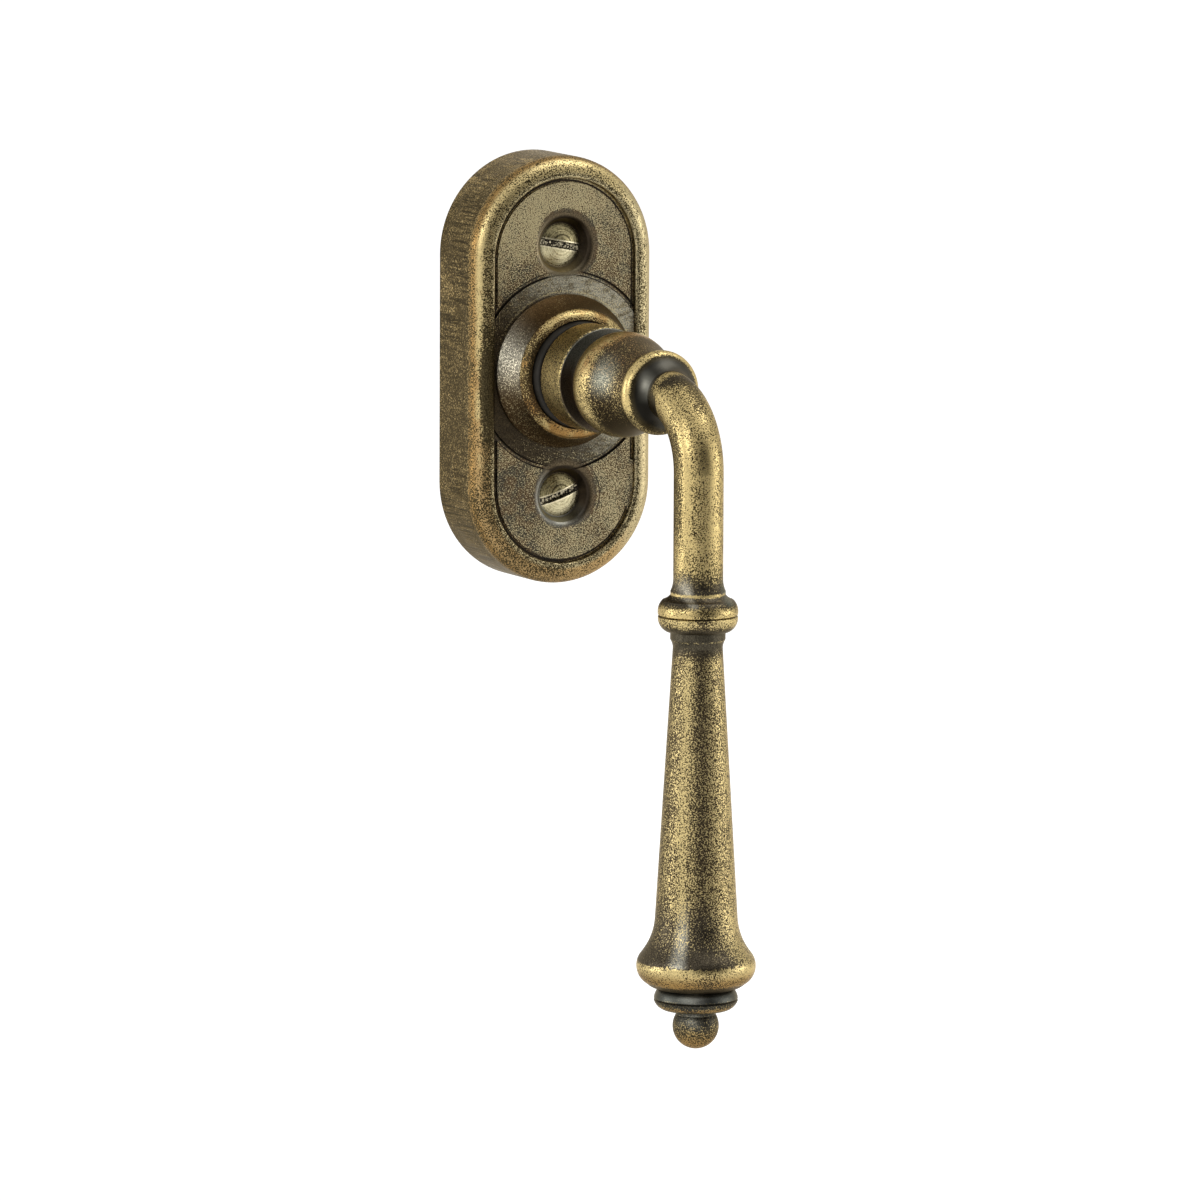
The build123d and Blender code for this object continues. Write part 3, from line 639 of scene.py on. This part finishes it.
def lever_places(f):
    """Masks of the neck's parts, from the window outwards, and of what follows the bend.

    Tucked is what sits in the hub, shoulder the bulb's bright back, and dark_bulb the rest of it.
    """
    at = SimpleNamespace()
    at.tucked = f.ramp(f.out, BAND_BACK + 0.1, BAND_BACK - 0.1)
    at.waist = f.inside(f.out, BAND_FRONT - 0.05, BULB_BACK - 0.1, 0.1)
    at.bulb = f.inside(f.out, BULB_BACK, BULB_FRONT, 0.1)
    at.shoulder = f.inside(f.out, BULB_BACK + 0.3, SHOULDER_FRONT, 1.2)
    at.dark_bulb = f.times(at.bulb, f.outside(at.shoulder))
    at.rim = f.inside(f.out, BULB_FRONT + 0.05, RIM_FRONT, 0.15)
    beside_tube = f.ramp(f.neck_radius(), TUBE_RADIUS - 0.2, TUBE_RADIUS + 0.3)
    at.cove = f.most(
        f.times(f.inside(f.out, RIM_FRONT + 0.1, COVE_FRONT + 0.3, 0.3), beside_tube),
        f.inside(f.out, RIM_FRONT, RIM_FRONT + 2.5, 0.4),
    )
    at.neck = f.ramp(f.out, COVE_FRONT + 1.1, COVE_FRONT - 0.9)
    at.elbow_top = f.times(f.ramp(f.out, PROJECTION - 1.0, PROJECTION - 7.0), f.ramp(f.z, 0.0, 3.5))
    at.collar = f.times(
        f.ramp(f.z, JOINT_Z + 1.2, JOINT_Z + 2.6),
        f.ramp(f.z, JOINT_Z + 8.5, JOINT_Z + 3.8),
    )
    # Painted highlight on the left of the bulb
    at.glint = f.times(
        f.near(f.out, 40.5, 4.0),
        f.ramp(f.x, -3.5, -7.0),
        f.near(f.z, 2.8, 5.2),
    )
    at.open_air = f.open_air(1.8, 0.3, 0.85)
    return at


def tube_wear(f, at):
    """Wear of the elbow, the upright tube and the collar at its end."""
    bead = f.near(f.z, JOINT_Z, 2.2)
    # Painted shade on the collar's bead, left of its middle
    bead_middle = f.times(bead, f.near(f.x, -2.2, 2.4))
    # Front of the elbow, less worn as painted shade
    elbow_front = f.times(f.near(f.x, 0.4, 2.4), f.near(f.z, 0.0, 3.6))
    arris = f.times(at.collar, f.near(f.z, JOINT_Z + 3.7, 0.5))
    upright = f.inside(f.z, -23.0, -5.0, 3.0)
    # Painted highlight and shade in stripes down the upright tube
    bands = f.total(
        0.0,
        (f.near(f.x, -3.4, 0.7), 0.18),
        (f.near(f.x, 0.2, 1.4), 0.15),
        (f.near(f.x, -2.2, 0.9), -0.05),
        (f.ramp(f.x, -3.75, -4.1), -0.25),
    )
    return f.total(
        0.5,
        (bead, 0.12),
        (bead_middle, -0.4),
        (at.collar, -0.5),
        (arris, f.ramp(f.x, 0.0, 4.5, 0.75, 0.35)),
        (upright, bands),
        (at.elbow_top, -0.5),
        (elbow_front, -0.36),
    )


def lever_wear(f, at):
    """Wear of the whole lever."""
    band = f.ramp(f.z, -1.0, 3.0, 0.4, 0.47)
    crest = f.ramp(f.z, 1.0, 4.0, 0.5, 0.6)
    # Bulb front: less worn low down and underneath, as painted shade, more under its painted
    # highlight
    dark_bulb = f.total(
        f.ramp(f.x, -5.0, 0.0, 0.18, 0.12),
        (f.ramp(f.z, -1.0, -5.0), -0.1),
        (at.glint, 0.1),
    )
    underside = f.ramp(f.z, -4.5, -7.5)
    bulb = f.total(f.mix(at.shoulder, dark_bulb, crest), (underside, -0.25))
    # The rim is worn most at middle height, much less underneath as painted shade, and more on its
    # right
    rim = f.total(
        f.ramp(f.z, 3.0, 7.0, 0.7, 0.5),
        (f.ramp(f.z, -1.0, -4.5), -0.45),
        (f.ramp(f.x, 1.0, 3.5), 0.3),
    )
    band_edge = f.near(f.out, BAND_FRONT - 0.15, 0.4)
    dull = f.most(at.cove, at.waist, at.tucked)
    return f.total(
        f.paint(tube_wear(f, at), (at.neck, band), (at.bulb, bulb), (at.rim, rim)),
        (band_edge, f.total(-0.25, (f.near(f.z, 1.5, 5.0), 0.4))),
        (f.outside(at.open_air), -1.1),
        (dull, f.mix(at.waist, -1.4, -0.62)),
    )


def lever_patina(f, at):
    """Patina of the whole lever."""
    bulb_top = (0.06, 0.044, 0.026)
    bulb_bottom = (0.015, 0.01, 0.005)
    bulb_glint = (0.185, 0.19, 0.15)
    elbow_brown = (0.026, 0.022, 0.016)
    collar_brown = (0.05, 0.042, 0.03)
    collar_left = (0.26, 0.24, 0.19)
    collar_right = (0.1, 0.105, 0.085)
    cove_left = (0.011, 0.01, 0.008)
    cove_right = (0.055, 0.052, 0.043)
    cove_shine = (0.15, 0.145, 0.12)
    waist_bottom = (0.1, 0.078, 0.056)
    waist_top = (0.19, 0.19, 0.165)
    # Bulb front: brown, darker underneath as painted shade, with a painted highlight on its left
    bulb = f.paint(
        bulb_top,
        (f.ramp(f.z, 4.0, -5.0), bulb_bottom),
        (at.glint, bulb_glint),
    )
    # Collar: brown, with a painted highlight on its left and a painted sheen on its right
    collar = f.paint(
        collar_brown,
        (f.times(f.near(f.x, -3.6, 1.1), f.ramp(f.z, -20.0, -26.0)), collar_left),
        (f.near(f.x, 3.4, 1.8), collar_right),
    )
    # Cove: darker on its left as painted shade, with a painted highlight high on its left
    cove = f.paint(
        cove_left,
        (f.ramp(f.x, -4.0, 0.0), cove_right),
        (f.times(f.near(f.x, -3.9, 1.8), f.near(f.z, 1.8, 3.5)), cove_shine),
    )
    # Deep hollows outside the waist and the cove, where shade is painted
    shut = f.times(f.ramp(at.open_air, 0.55, 0.0), f.outside(f.most(at.waist, at.cove)))
    return f.paint(
        OLIVE,
        (at.dark_bulb, bulb),
        (f.times(at.elbow_top, f.ramp(f.out, COVE_FRONT - 0.9, COVE_FRONT + 0.6)), elbow_brown),
        (at.collar, collar),
        (at.cove, cove),
        # Painted shade inside the hub and deep in hollows
        (at.tucked, BLACK),
        (shut, BLACK),
        # Waist: painted light on its top
        (at.waist, f.mix(f.ramp(f.z, 0.0, 6.0), waist_bottom, waist_top)),
    )


def lever_finish():
    """Neck, elbow and upper collar half."""
    f = Finish("lever_brass")
    at = lever_places(f)
    pale = (0.42, 0.39, 0.29)
    rust = (0.36, 0.21, 0.08)
    rusty = f.times(
        f.ramp(f.noise(3.0, 2.0, shift=17.0), 0.4, 0.6),
        f.ramp(f.z, 1.0, 5.0),
        at.bulb,
    )
    # Paler metal under the painted highlight on the bulb, and rust on its top
    gold = f.paint(GOLD, (f.times(at.glint, at.dark_bulb), pale), (rusty, rust))
    smooth = f.most(at.cove, f.times(at.waist, 0.55), f.times(at.collar, 0.12))
    return aged_brass(f, lever_wear(f, at), lever_patina(f, at), gold, smooth)


def grip_finish():
    """Long taper, lower collar half and bell."""
    f = Finish("grip_brass")
    taper_brown = (0.06, 0.046, 0.027)
    collar_brown = (0.06, 0.052, 0.036)
    bell_brown = (0.058, 0.048, 0.033)
    bell_shine = (0.26, 0.25, 0.21)
    grip_gold = (0.56, 0.44, 0.2)
    rust = (0.36, 0.22, 0.075)
    side = f.grip_side()
    open_air = f.open_air(1.8, 0.3, 0.85)
    bead = f.near(f.z, JOINT_Z, 2.2)
    # Painted shade on the collar's bead, left of its middle
    bead_middle = f.times(bead, f.near(f.x, -2.2, 2.4))
    collar = f.times(
        f.ramp(f.z, JOINT_Z - 1.2, JOINT_Z - 2.6),
        f.ramp(f.z, JOINT_Z - 7.8, JOINT_Z - 4.2),
    )
    arris = f.near(f.z, JOINT_Z - 4.2, 0.45)
    uneven = f.minus(f.noise(0.7, 2.0, 0.6, shift=2.0), 0.5)
    rim = f.ramp(f.total(f.z, (uneven, 1.6)), GRIP_END_Z + 5.0, GRIP_END_Z + 4.4)
    rim_bottom = f.ramp(f.z, GRIP_END_Z + 3.4, GRIP_END_Z + 2.0)
    foot = f.ramp(f.z, GRIP_END_Z + 1.3, GRIP_END_Z + 0.7)
    flare = f.times(f.outside(rim), f.ramp(f.z, BELL_Z + 6.0, BELL_Z - 2.0))
    # Lower left of the bell's flare, where shade is painted
    low_flare = f.times(
        flare,
        f.ramp(f.z, GRIP_END_Z + 9.0, GRIP_END_Z + 5.5),
        f.ramp(side, 0.45, 0.1),
    )
    taper = f.outside(f.most(bead, rim))
    wear = f.total(
        0.37,
        (bead, 0.16),
        (bead_middle, -0.3),
        (collar, -0.5),
        (arris, 0.4),
        # Painted highlight and shade in stripes round the grip and its flare, by side
        (f.near(side, -0.77, 0.15), 0.12),
        (f.ramp(side, -0.88, -0.98), -0.07),
        (f.times(taper, f.near(side, -0.35, 0.3)), -0.12),
        (f.ramp(side, 0.3, 0.7), 0.08),
        (flare, -0.1),
        (flare, f.ramp(side, -0.1, 0.3, -0.02, 0.14)),
        (low_flare, -0.2),
        # Bell's rim: more worn, but less left of its middle and at its bottom, as painted shade
        (rim, 0.24),
        (f.times(rim, f.near(side, -0.24, 0.4)), -0.2),
        (rim_bottom, -0.1),
        (foot, -0.6),
        (f.outside(open_air), -1.1),
    )
    patina = f.paint(
        taper_brown,
        (collar, collar_brown),
        # Bell's flare, with a painted highlight on its left
        (flare, f.mix(f.near(side, -0.73, 0.16), bell_brown, bell_shine)),
        # Painted shade deep in hollows
        (f.ramp(open_air, 0.55, 0.0), BLACK),
    )
    gold = f.mix(f.ramp(f.z, GRIP_END_Z + 4.2, GRIP_END_Z + 1.6), grip_gold, rust)
    return aged_brass(f, wear, patina, gold, f.times(collar, 0.2), cloud=0.25)


def dark_finish():
    """Nearly black ring between bell and finial, with a painted highlight on its left."""
    f = Finish("dark_brass")
    ring_grey = (0.062, 0.064, 0.056)
    ring_shine = (0.24, 0.24, 0.21)
    edge = f.near(f.z, FINIAL_Z + 0.2, 0.35)
    patina = f.mix(f.near(f.x, -3.2, 2.4), ring_grey, ring_shine)
    return aged_brass(f, f.times(edge, 0.2), patina, smooth=0.7)


def finial_finish():
    """Ball with the lower half of its bead, and a painted highlight on the ball's left."""
    f = Finish("finial_brass")
    ball_brown = (0.042, 0.04, 0.032)
    ball_shine = (0.2, 0.195, 0.16)
    rust = (0.33, 0.2, 0.07)
    edge = f.near(f.z, FINIAL_Z - 1.2, 0.7)
    underside = f.ramp(f.z, BALL_Z + 1.5, BALL_Z - 3.0)
    # Painted highlight on the ball's left
    glint = f.times(f.near(f.x, -1.8, 1.8), f.near(f.z, BALL_Z + 1.2, 2.2))
    open_air = f.open_air(1.5, 0.3, 0.85)
    wear = f.total(0.1, (edge, 0.32), (underside, 0.34), (f.outside(open_air), -1.0))
    patina = f.paint(
        ball_brown,
        (glint, ball_shine),
        (underside, OLIVE),
        # Painted shade deep in hollows
        (f.ramp(open_air, 0.55, 0.0), BLACK),
    )
    gold = f.mix(f.most(edge, underside), GOLD, rust)
    return aged_brass(f, wear, patina, gold)


def screw_finish(name, height, slot_turn):
    """Paler turned brass of one screw, with rings about its axis and painted shade in its slot."""
    f = Finish(name)
    upper_dark = (0.14, 0.12, 0.06)
    upper_pale = (0.4, 0.34, 0.18)
    lower_dark = (0.4, 0.35, 0.21)
    lower_pale = (0.68, 0.61, 0.38)
    ring_brown = (0.05, 0.04, 0.022)
    slot_edge = (0.8, 0.71, 0.48)
    crumb_gold = (0.5, 0.44, 0.3)
    up = f.minus(f.z, height)
    radius = f.hypot(f.x, up)
    turned = f.nodes.new("ShaderNodeTexNoise")
    turned.noise_dimensions = "1D"
    f.feed(turned.inputs["W"], radius)
    turned.inputs["Scale"].default_value = 1.0 / 0.32
    turned.inputs["Detail"].default_value = 2.0
    rings = turned.outputs["Fac"]
    turn = math.radians(slot_turn)
    across = f.minus(f.times(up, math.cos(turn)), f.times(f.x, math.sin(turn)))
    from_slot = f.gap(across)
    speck = f.noise(0.32, 2.0, 0.6)
    ragged = f.total(from_slot, (f.minus(speck, 0.5), 0.5))
    front = f.ramp(f.out, SCREW_RIM_OUT - 0.4, SCREW_RIM_OUT - 0.15)
    slot = f.times(f.ramp(ragged, 0.64, 0.52), front)
    lip = f.times(f.near(from_slot, 0.72, 0.2), front)
    ring = f.times(f.near(radius, 1.75, 0.22), f.ramp(across, 0.5, 0.9))
    # Half of the head above the slot, painted in shade; the half below is painted in light
    upper = f.ramp(across, -0.5, 0.5)
    tone = f.ramp(f.total(0.0, (speck, 0.5), (rings, 0.5)), 0.4, 0.6)
    dark = f.mix(upper, lower_dark, upper_dark)
    pale = f.mix(upper, lower_pale, upper_pale)
    crumbs = f.times(
        f.ramp(f.noise(0.4, 2.0, 0.6, shift=4.0), 0.47, 0.56),
        f.ramp(from_slot, 0.46, 0.3),
    )
    closed = f.outside(f.open_air(0.9, 0.3, 0.85))
    colour = f.paint(
        f.mix(tone, dark, pale),
        (f.times(ring, 0.75), ring_brown),
        (lip, slot_edge),
        # Painted shade in the slot and in hollows, flecked with crumbs of metal
        (f.most(slot, closed), f.mix(crumbs, BLACK, crumb_gold)),
    )
    f.relief(f.total(rings, (speck, 0.4)), 0.07)
    return f.surface(colour, 1.0, f.vary(speck, 0.26, 0.4))


def steel_finish(name, colour, size, contrast):
    """Plated or plain steel with faint crystals of a given size and fine drawing lines."""
    f = Finish(name)
    crystals = f.noise(size, 3.0, 0.6)
    lines = f.noise(0.12, 2.0, 0.6, stretch=(1.0, 30.0, 1.0))
    tone = f.ramp(crystals, 0.35, 0.65, 1.0 - contrast, 1.0)
    dark = tuple(0.45 * part for part in colour)
    # Painted shade in hollows
    shade = f.mix(f.times(tone, f.open_air(1.5, 0.2, 0.8)), dark, colour)
    f.relief(f.plus(lines, crystals), 0.012)
    return f.surface(shade, 1.0, f.vary(crystals, 0.22, 0.34))


def plastic_finish(name, colour, roughness, gloss=0.25):
    """Moulded plastic with a fine spark-eroded grain and faint dusty clouds."""
    f = Finish(name)
    grain = f.noise(0.18, 2.0, 0.6)
    cloud = f.noise(5.0, 2.0)
    dusty = f.ramp(f.total(0.0, (grain, 0.3), (cloud, 0.5)), 0.3, 0.5)
    pale = tuple(min(1.0, 1.5 * part + 0.01) for part in colour)
    f.relief(grain, 0.02)
    f.shader.inputs["Specular IOR Level"].default_value = gloss
    return f.surface(f.mix(dusty, colour, pale), 0.0, f.vary(grain, roughness, roughness + 0.12))


def seen_rays(nodes, links):
    """One for the rays of the camera, of reflections and of transmission."""
    path = nodes.new("ShaderNodeLightPath")
    result = path.outputs["Is Camera Ray"]
    for name in ("Is Glossy Ray", "Is Transmission Ray"):
        largest = nodes.new("ShaderNodeMath")
        largest.operation = "MAXIMUM"
        links.new(result, largest.inputs[0])
        links.new(path.outputs[name], largest.inputs[1])
        result = largest.outputs[0]
    return result


def floor_finish():
    """Pale floor that shows white where it is lit and keeps the object's shadow."""
    f = Finish("pale_floor")
    pale = (0.85, 0.85, 0.85)
    glow = f.ramp(f.hypot(f.x, f.y), 80.0, 260.0, 0.28, 0.6)
    f.feed(f.shader.inputs["Emission Color"], WHITE)
    f.feed(f.shader.inputs["Emission Strength"], f.times(seen_rays(f.nodes, f.links), glow))
    return f.surface(pale, 0.0, 0.9)


def add_world():
    """White surroundings, at half strength as a light on matt surfaces."""
    world = bpy.data.worlds.new("world")
    bpy.context.scene.world = world
    world.use_nodes = True
    nodes = world.node_tree.nodes
    links = world.node_tree.links
    background = nodes["Background"]
    background.inputs["Color"].default_value = (*WHITE, 1.0)
    strength = nodes.new("ShaderNodeMapRange")
    links.new(seen_rays(nodes, links), strength.inputs["Value"])
    strength.inputs["To Min"].default_value = WORLD_LIGHT
    strength.inputs["To Max"].default_value = WORLD_SEEN
    links.new(strength.outputs["Result"], background.inputs["Strength"])
    world.cycles.sampling_method = "NONE"


def add_floor():
    """Wide round floor under the object."""
    made = bmesh.new()
    bmesh.ops.create_circle(made, cap_ends=True, segments=FLOOR_SIDES, radius=FLOOR_RADIUS)
    floor = add_object("floor", made)
    floor.location = (0.0, 0.0, FLOOR_Z)
    floor.data.materials.append(floor_finish())


def add_flag():
    """Black cloth in front of the object, which only its reflections show, as in a photo studio."""
    cloth_grey = (0.06, 0.06, 0.06, 1.0)
    towards = direction(0.0, FLAG_ELEVATION)
    made = bmesh.new()
    bmesh.ops.create_grid(made, x_segments=1, y_segments=1, size=0.5)
    flag = add_object("flag", made)
    flag.location = towards * FLAG_DISTANCE
    flag.scale = (FLAG_WIDTH, FLAG_HEIGHT, 1.0)
    flag.rotation_mode = "QUATERNION"
    flag.rotation_quaternion = towards.to_track_quat("Z", "Y")
    flag.visible_camera = False
    flag.visible_diffuse = False
    flag.visible_transmission = False
    flag.visible_shadow = False
    material = bpy.data.materials.new("black_cloth")
    material.use_nodes = True
    shader = material.node_tree.nodes["Principled BSDF"]
    shader.inputs["Base Color"].default_value = cloth_grey
    shader.inputs["Roughness"].default_value = 1.0
    shader.inputs["Specular IOR Level"].default_value = 0.0
    flag.data.materials.append(material)


def screw_profile():
    """Points of distance out and radius along a screw, from its tip to the dome.

    The radius is None on the thread, where it changes round the screw.
    """
    tip = SCREW_RIM_OUT - SCREW_LENGTH
    steps = int(THREAD_LENGTH / SCREW_PITCH * TURN_STEPS)
    points = [(tip, TIP_RADIUS)]
    points += [(tip + THREAD_LENGTH * step / steps, None) for step in range(steps + 1)]
    points += [
        (tip + THREAD_LENGTH + 0.05, SCREW_SHANK_RADIUS),
        (SCREW_RIM_OUT - SCREW_HEAD_DEPTH, SCREW_SHANK_RADIUS),
        (SCREW_RIM_OUT - SCREW_EDGE, SCREW_HEAD_RADIUS - SCREW_EDGE),
        (SCREW_RIM_OUT, SCREW_HEAD_RADIUS),
    ]
    ball = (SCREW_HEAD_RADIUS ** 2 + SCREW_DOME ** 2) / (2 * SCREW_DOME)
    for step in range(1, DOME_STEPS):
        radius = SCREW_HEAD_RADIUS * (1 - step / DOME_STEPS)
        rise = SCREW_DOME - ball + math.sqrt(ball ** 2 - radius ** 2)
        points.append((SCREW_RIM_OUT + rise, radius))
    return points


def thread_radius(out, angle):
    """Radius of the helical thread, which runs in at the tip and out at the shank."""
    tip = SCREW_RIM_OUT - SCREW_LENGTH
    start = SCREW_ROOT_RADIUS - TIP_DEPTH
    phase = (out / SCREW_PITCH + angle / (2 * math.pi)) % 1.0
    flank = 1.0 - abs(2.0 * phase - 1.0)
    crest = min(1.0, max(0.0, 1.35 * flank - 0.1))
    depth = min(1.0, (tip + THREAD_LENGTH - out) / THREAD_END)
    radius = SCREW_ROOT_RADIUS + (SCREW_RADIUS - SCREW_ROOT_RADIUS) * crest
    lead = start + (out - tip) * (SCREW_RADIUS - start) / SCREW_TIP
    return min(radius * depth + SCREW_SHANK_RADIUS * (1 - depth), max(lead, start))


def add_screw(name, height, slot_turn):
    """Fixing screw with a cut thread and a slotted dome, standing where the CAD screw does."""
    made = bmesh.new()
    rows = []
    for out, radius in screw_profile():
        row = []
        for side in range(SCREW_SIDES):
            angle = 2 * math.pi * side / SCREW_SIDES
            reach = thread_radius(out, angle) if radius is None else radius
            place = Vector((reach * math.cos(angle), -out, height + reach * math.sin(angle)))
            row.append(made.verts.new(place * MM))
        rows.append(row)
    for lower, upper in zip(rows, rows[1:]):
        for side in range(SCREW_SIDES):
            after = (side + 1) % SCREW_SIDES
            made.faces.new((lower[side], lower[after], upper[after], upper[side]))
    top = made.verts.new(Vector((0.0, -SCREW_RIM_OUT - SCREW_DOME, height)) * MM)
    for side in range(SCREW_SIDES):
        made.faces.new((rows[-1][side], rows[-1][(side + 1) % SCREW_SIDES], top))
    made.faces.new(rows[0][::-1])
    bmesh.ops.recalc_face_normals(made, faces=made.faces)
    for face in made.faces:
        face.smooth = True
    screw = add_object(name, made)
    cut_slot(screw, height, slot_turn)
    screw.data.materials.clear()
    screw.data.materials.append(screw_finish(name + "_brass", height, slot_turn))
    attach(screw, "base")
    return screw


def cut_slot(screw, height, slot_turn):
    """Cut the driver's slot with a bar that is then thrown away."""
    made = bmesh.new()
    bmesh.ops.create_cube(made, size=1.0)
    bar = add_object("slot_bar", made)
    slot_floor = SCREW_RIM_OUT + SCREW_DOME - SLOT_DEPTH
    bar.scale = Vector((3 * SCREW_HEAD_RADIUS, 2 * SLOT_DEPTH, SLOT_WIDTH)) * MM
    bar.location = Vector((0.0, -slot_floor - SLOT_DEPTH, height)) * MM
    bar.rotation_euler = (0.0, -math.radians(slot_turn), 0.0)
    bpy.context.view_layer.update()
    cutter = screw.modifiers.new("slot", "BOOLEAN")
    cutter.operation = "DIFFERENCE"
    cutter.object = bar
    cutter.solver = "EXACT"
    graph = bpy.context.evaluated_depsgraph_get()
    cut = bpy.data.meshes.new_from_object(screw.evaluated_get(graph))
    screw.modifiers.clear()
    screw.data = cut
    cut.set_sharp_from_angle(angle=math.radians(SHARP_ANGLE))
    bpy.data.objects.remove(bar)


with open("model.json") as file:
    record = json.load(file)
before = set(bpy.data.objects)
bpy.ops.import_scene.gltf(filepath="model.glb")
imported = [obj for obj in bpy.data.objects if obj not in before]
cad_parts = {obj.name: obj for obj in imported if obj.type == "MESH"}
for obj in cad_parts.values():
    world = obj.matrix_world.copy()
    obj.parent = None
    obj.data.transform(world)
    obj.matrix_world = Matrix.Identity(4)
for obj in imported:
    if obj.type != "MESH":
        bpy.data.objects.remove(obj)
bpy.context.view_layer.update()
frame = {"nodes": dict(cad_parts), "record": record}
bpy.context.scene.view_settings.view_transform = "Standard"
add_camera()
add_world()
add_floor()
for lamp in LAMPS:
    add_lamp(*lamp)
add_flag()

FINISHES = {
    "rosette_brass": rosette_finish(),
    "lever_brass": lever_finish(),
    "grip_brass": grip_finish(),
    "dark_brass": dark_finish(),
    "finial_brass": finial_finish(),
    "screw_brass": screw_finish("screw_brass", SCREW_Z, UPPER_SLOT_TURN),
    "bush_polymer": plastic_finish("bush_polymer", BUSH_BLACK, 0.55, 0.14),
    "polyamide": plastic_finish("polyamide", MOULDED_BLACK, 0.5),
    "zinc_steel": steel_finish("zinc_steel", ZINC_GREY, 0.7, 0.3),
    "spring_steel": steel_finish("spring_steel", SPRING_GREY, 0.8, 0.2),
}
for part in frame["record"]["subparts"]:
    materials = frame["nodes"][part["node"]].data.materials
    materials.clear()
    materials.append(FINISHES[part["material_slot"]])
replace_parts(add_screw("upper_screw", SCREW_Z, UPPER_SLOT_TURN), "fixing_screws")
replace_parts(add_screw("lower_screw", -SCREW_Z, LOWER_SLOT_TURN), "fixing_screws")
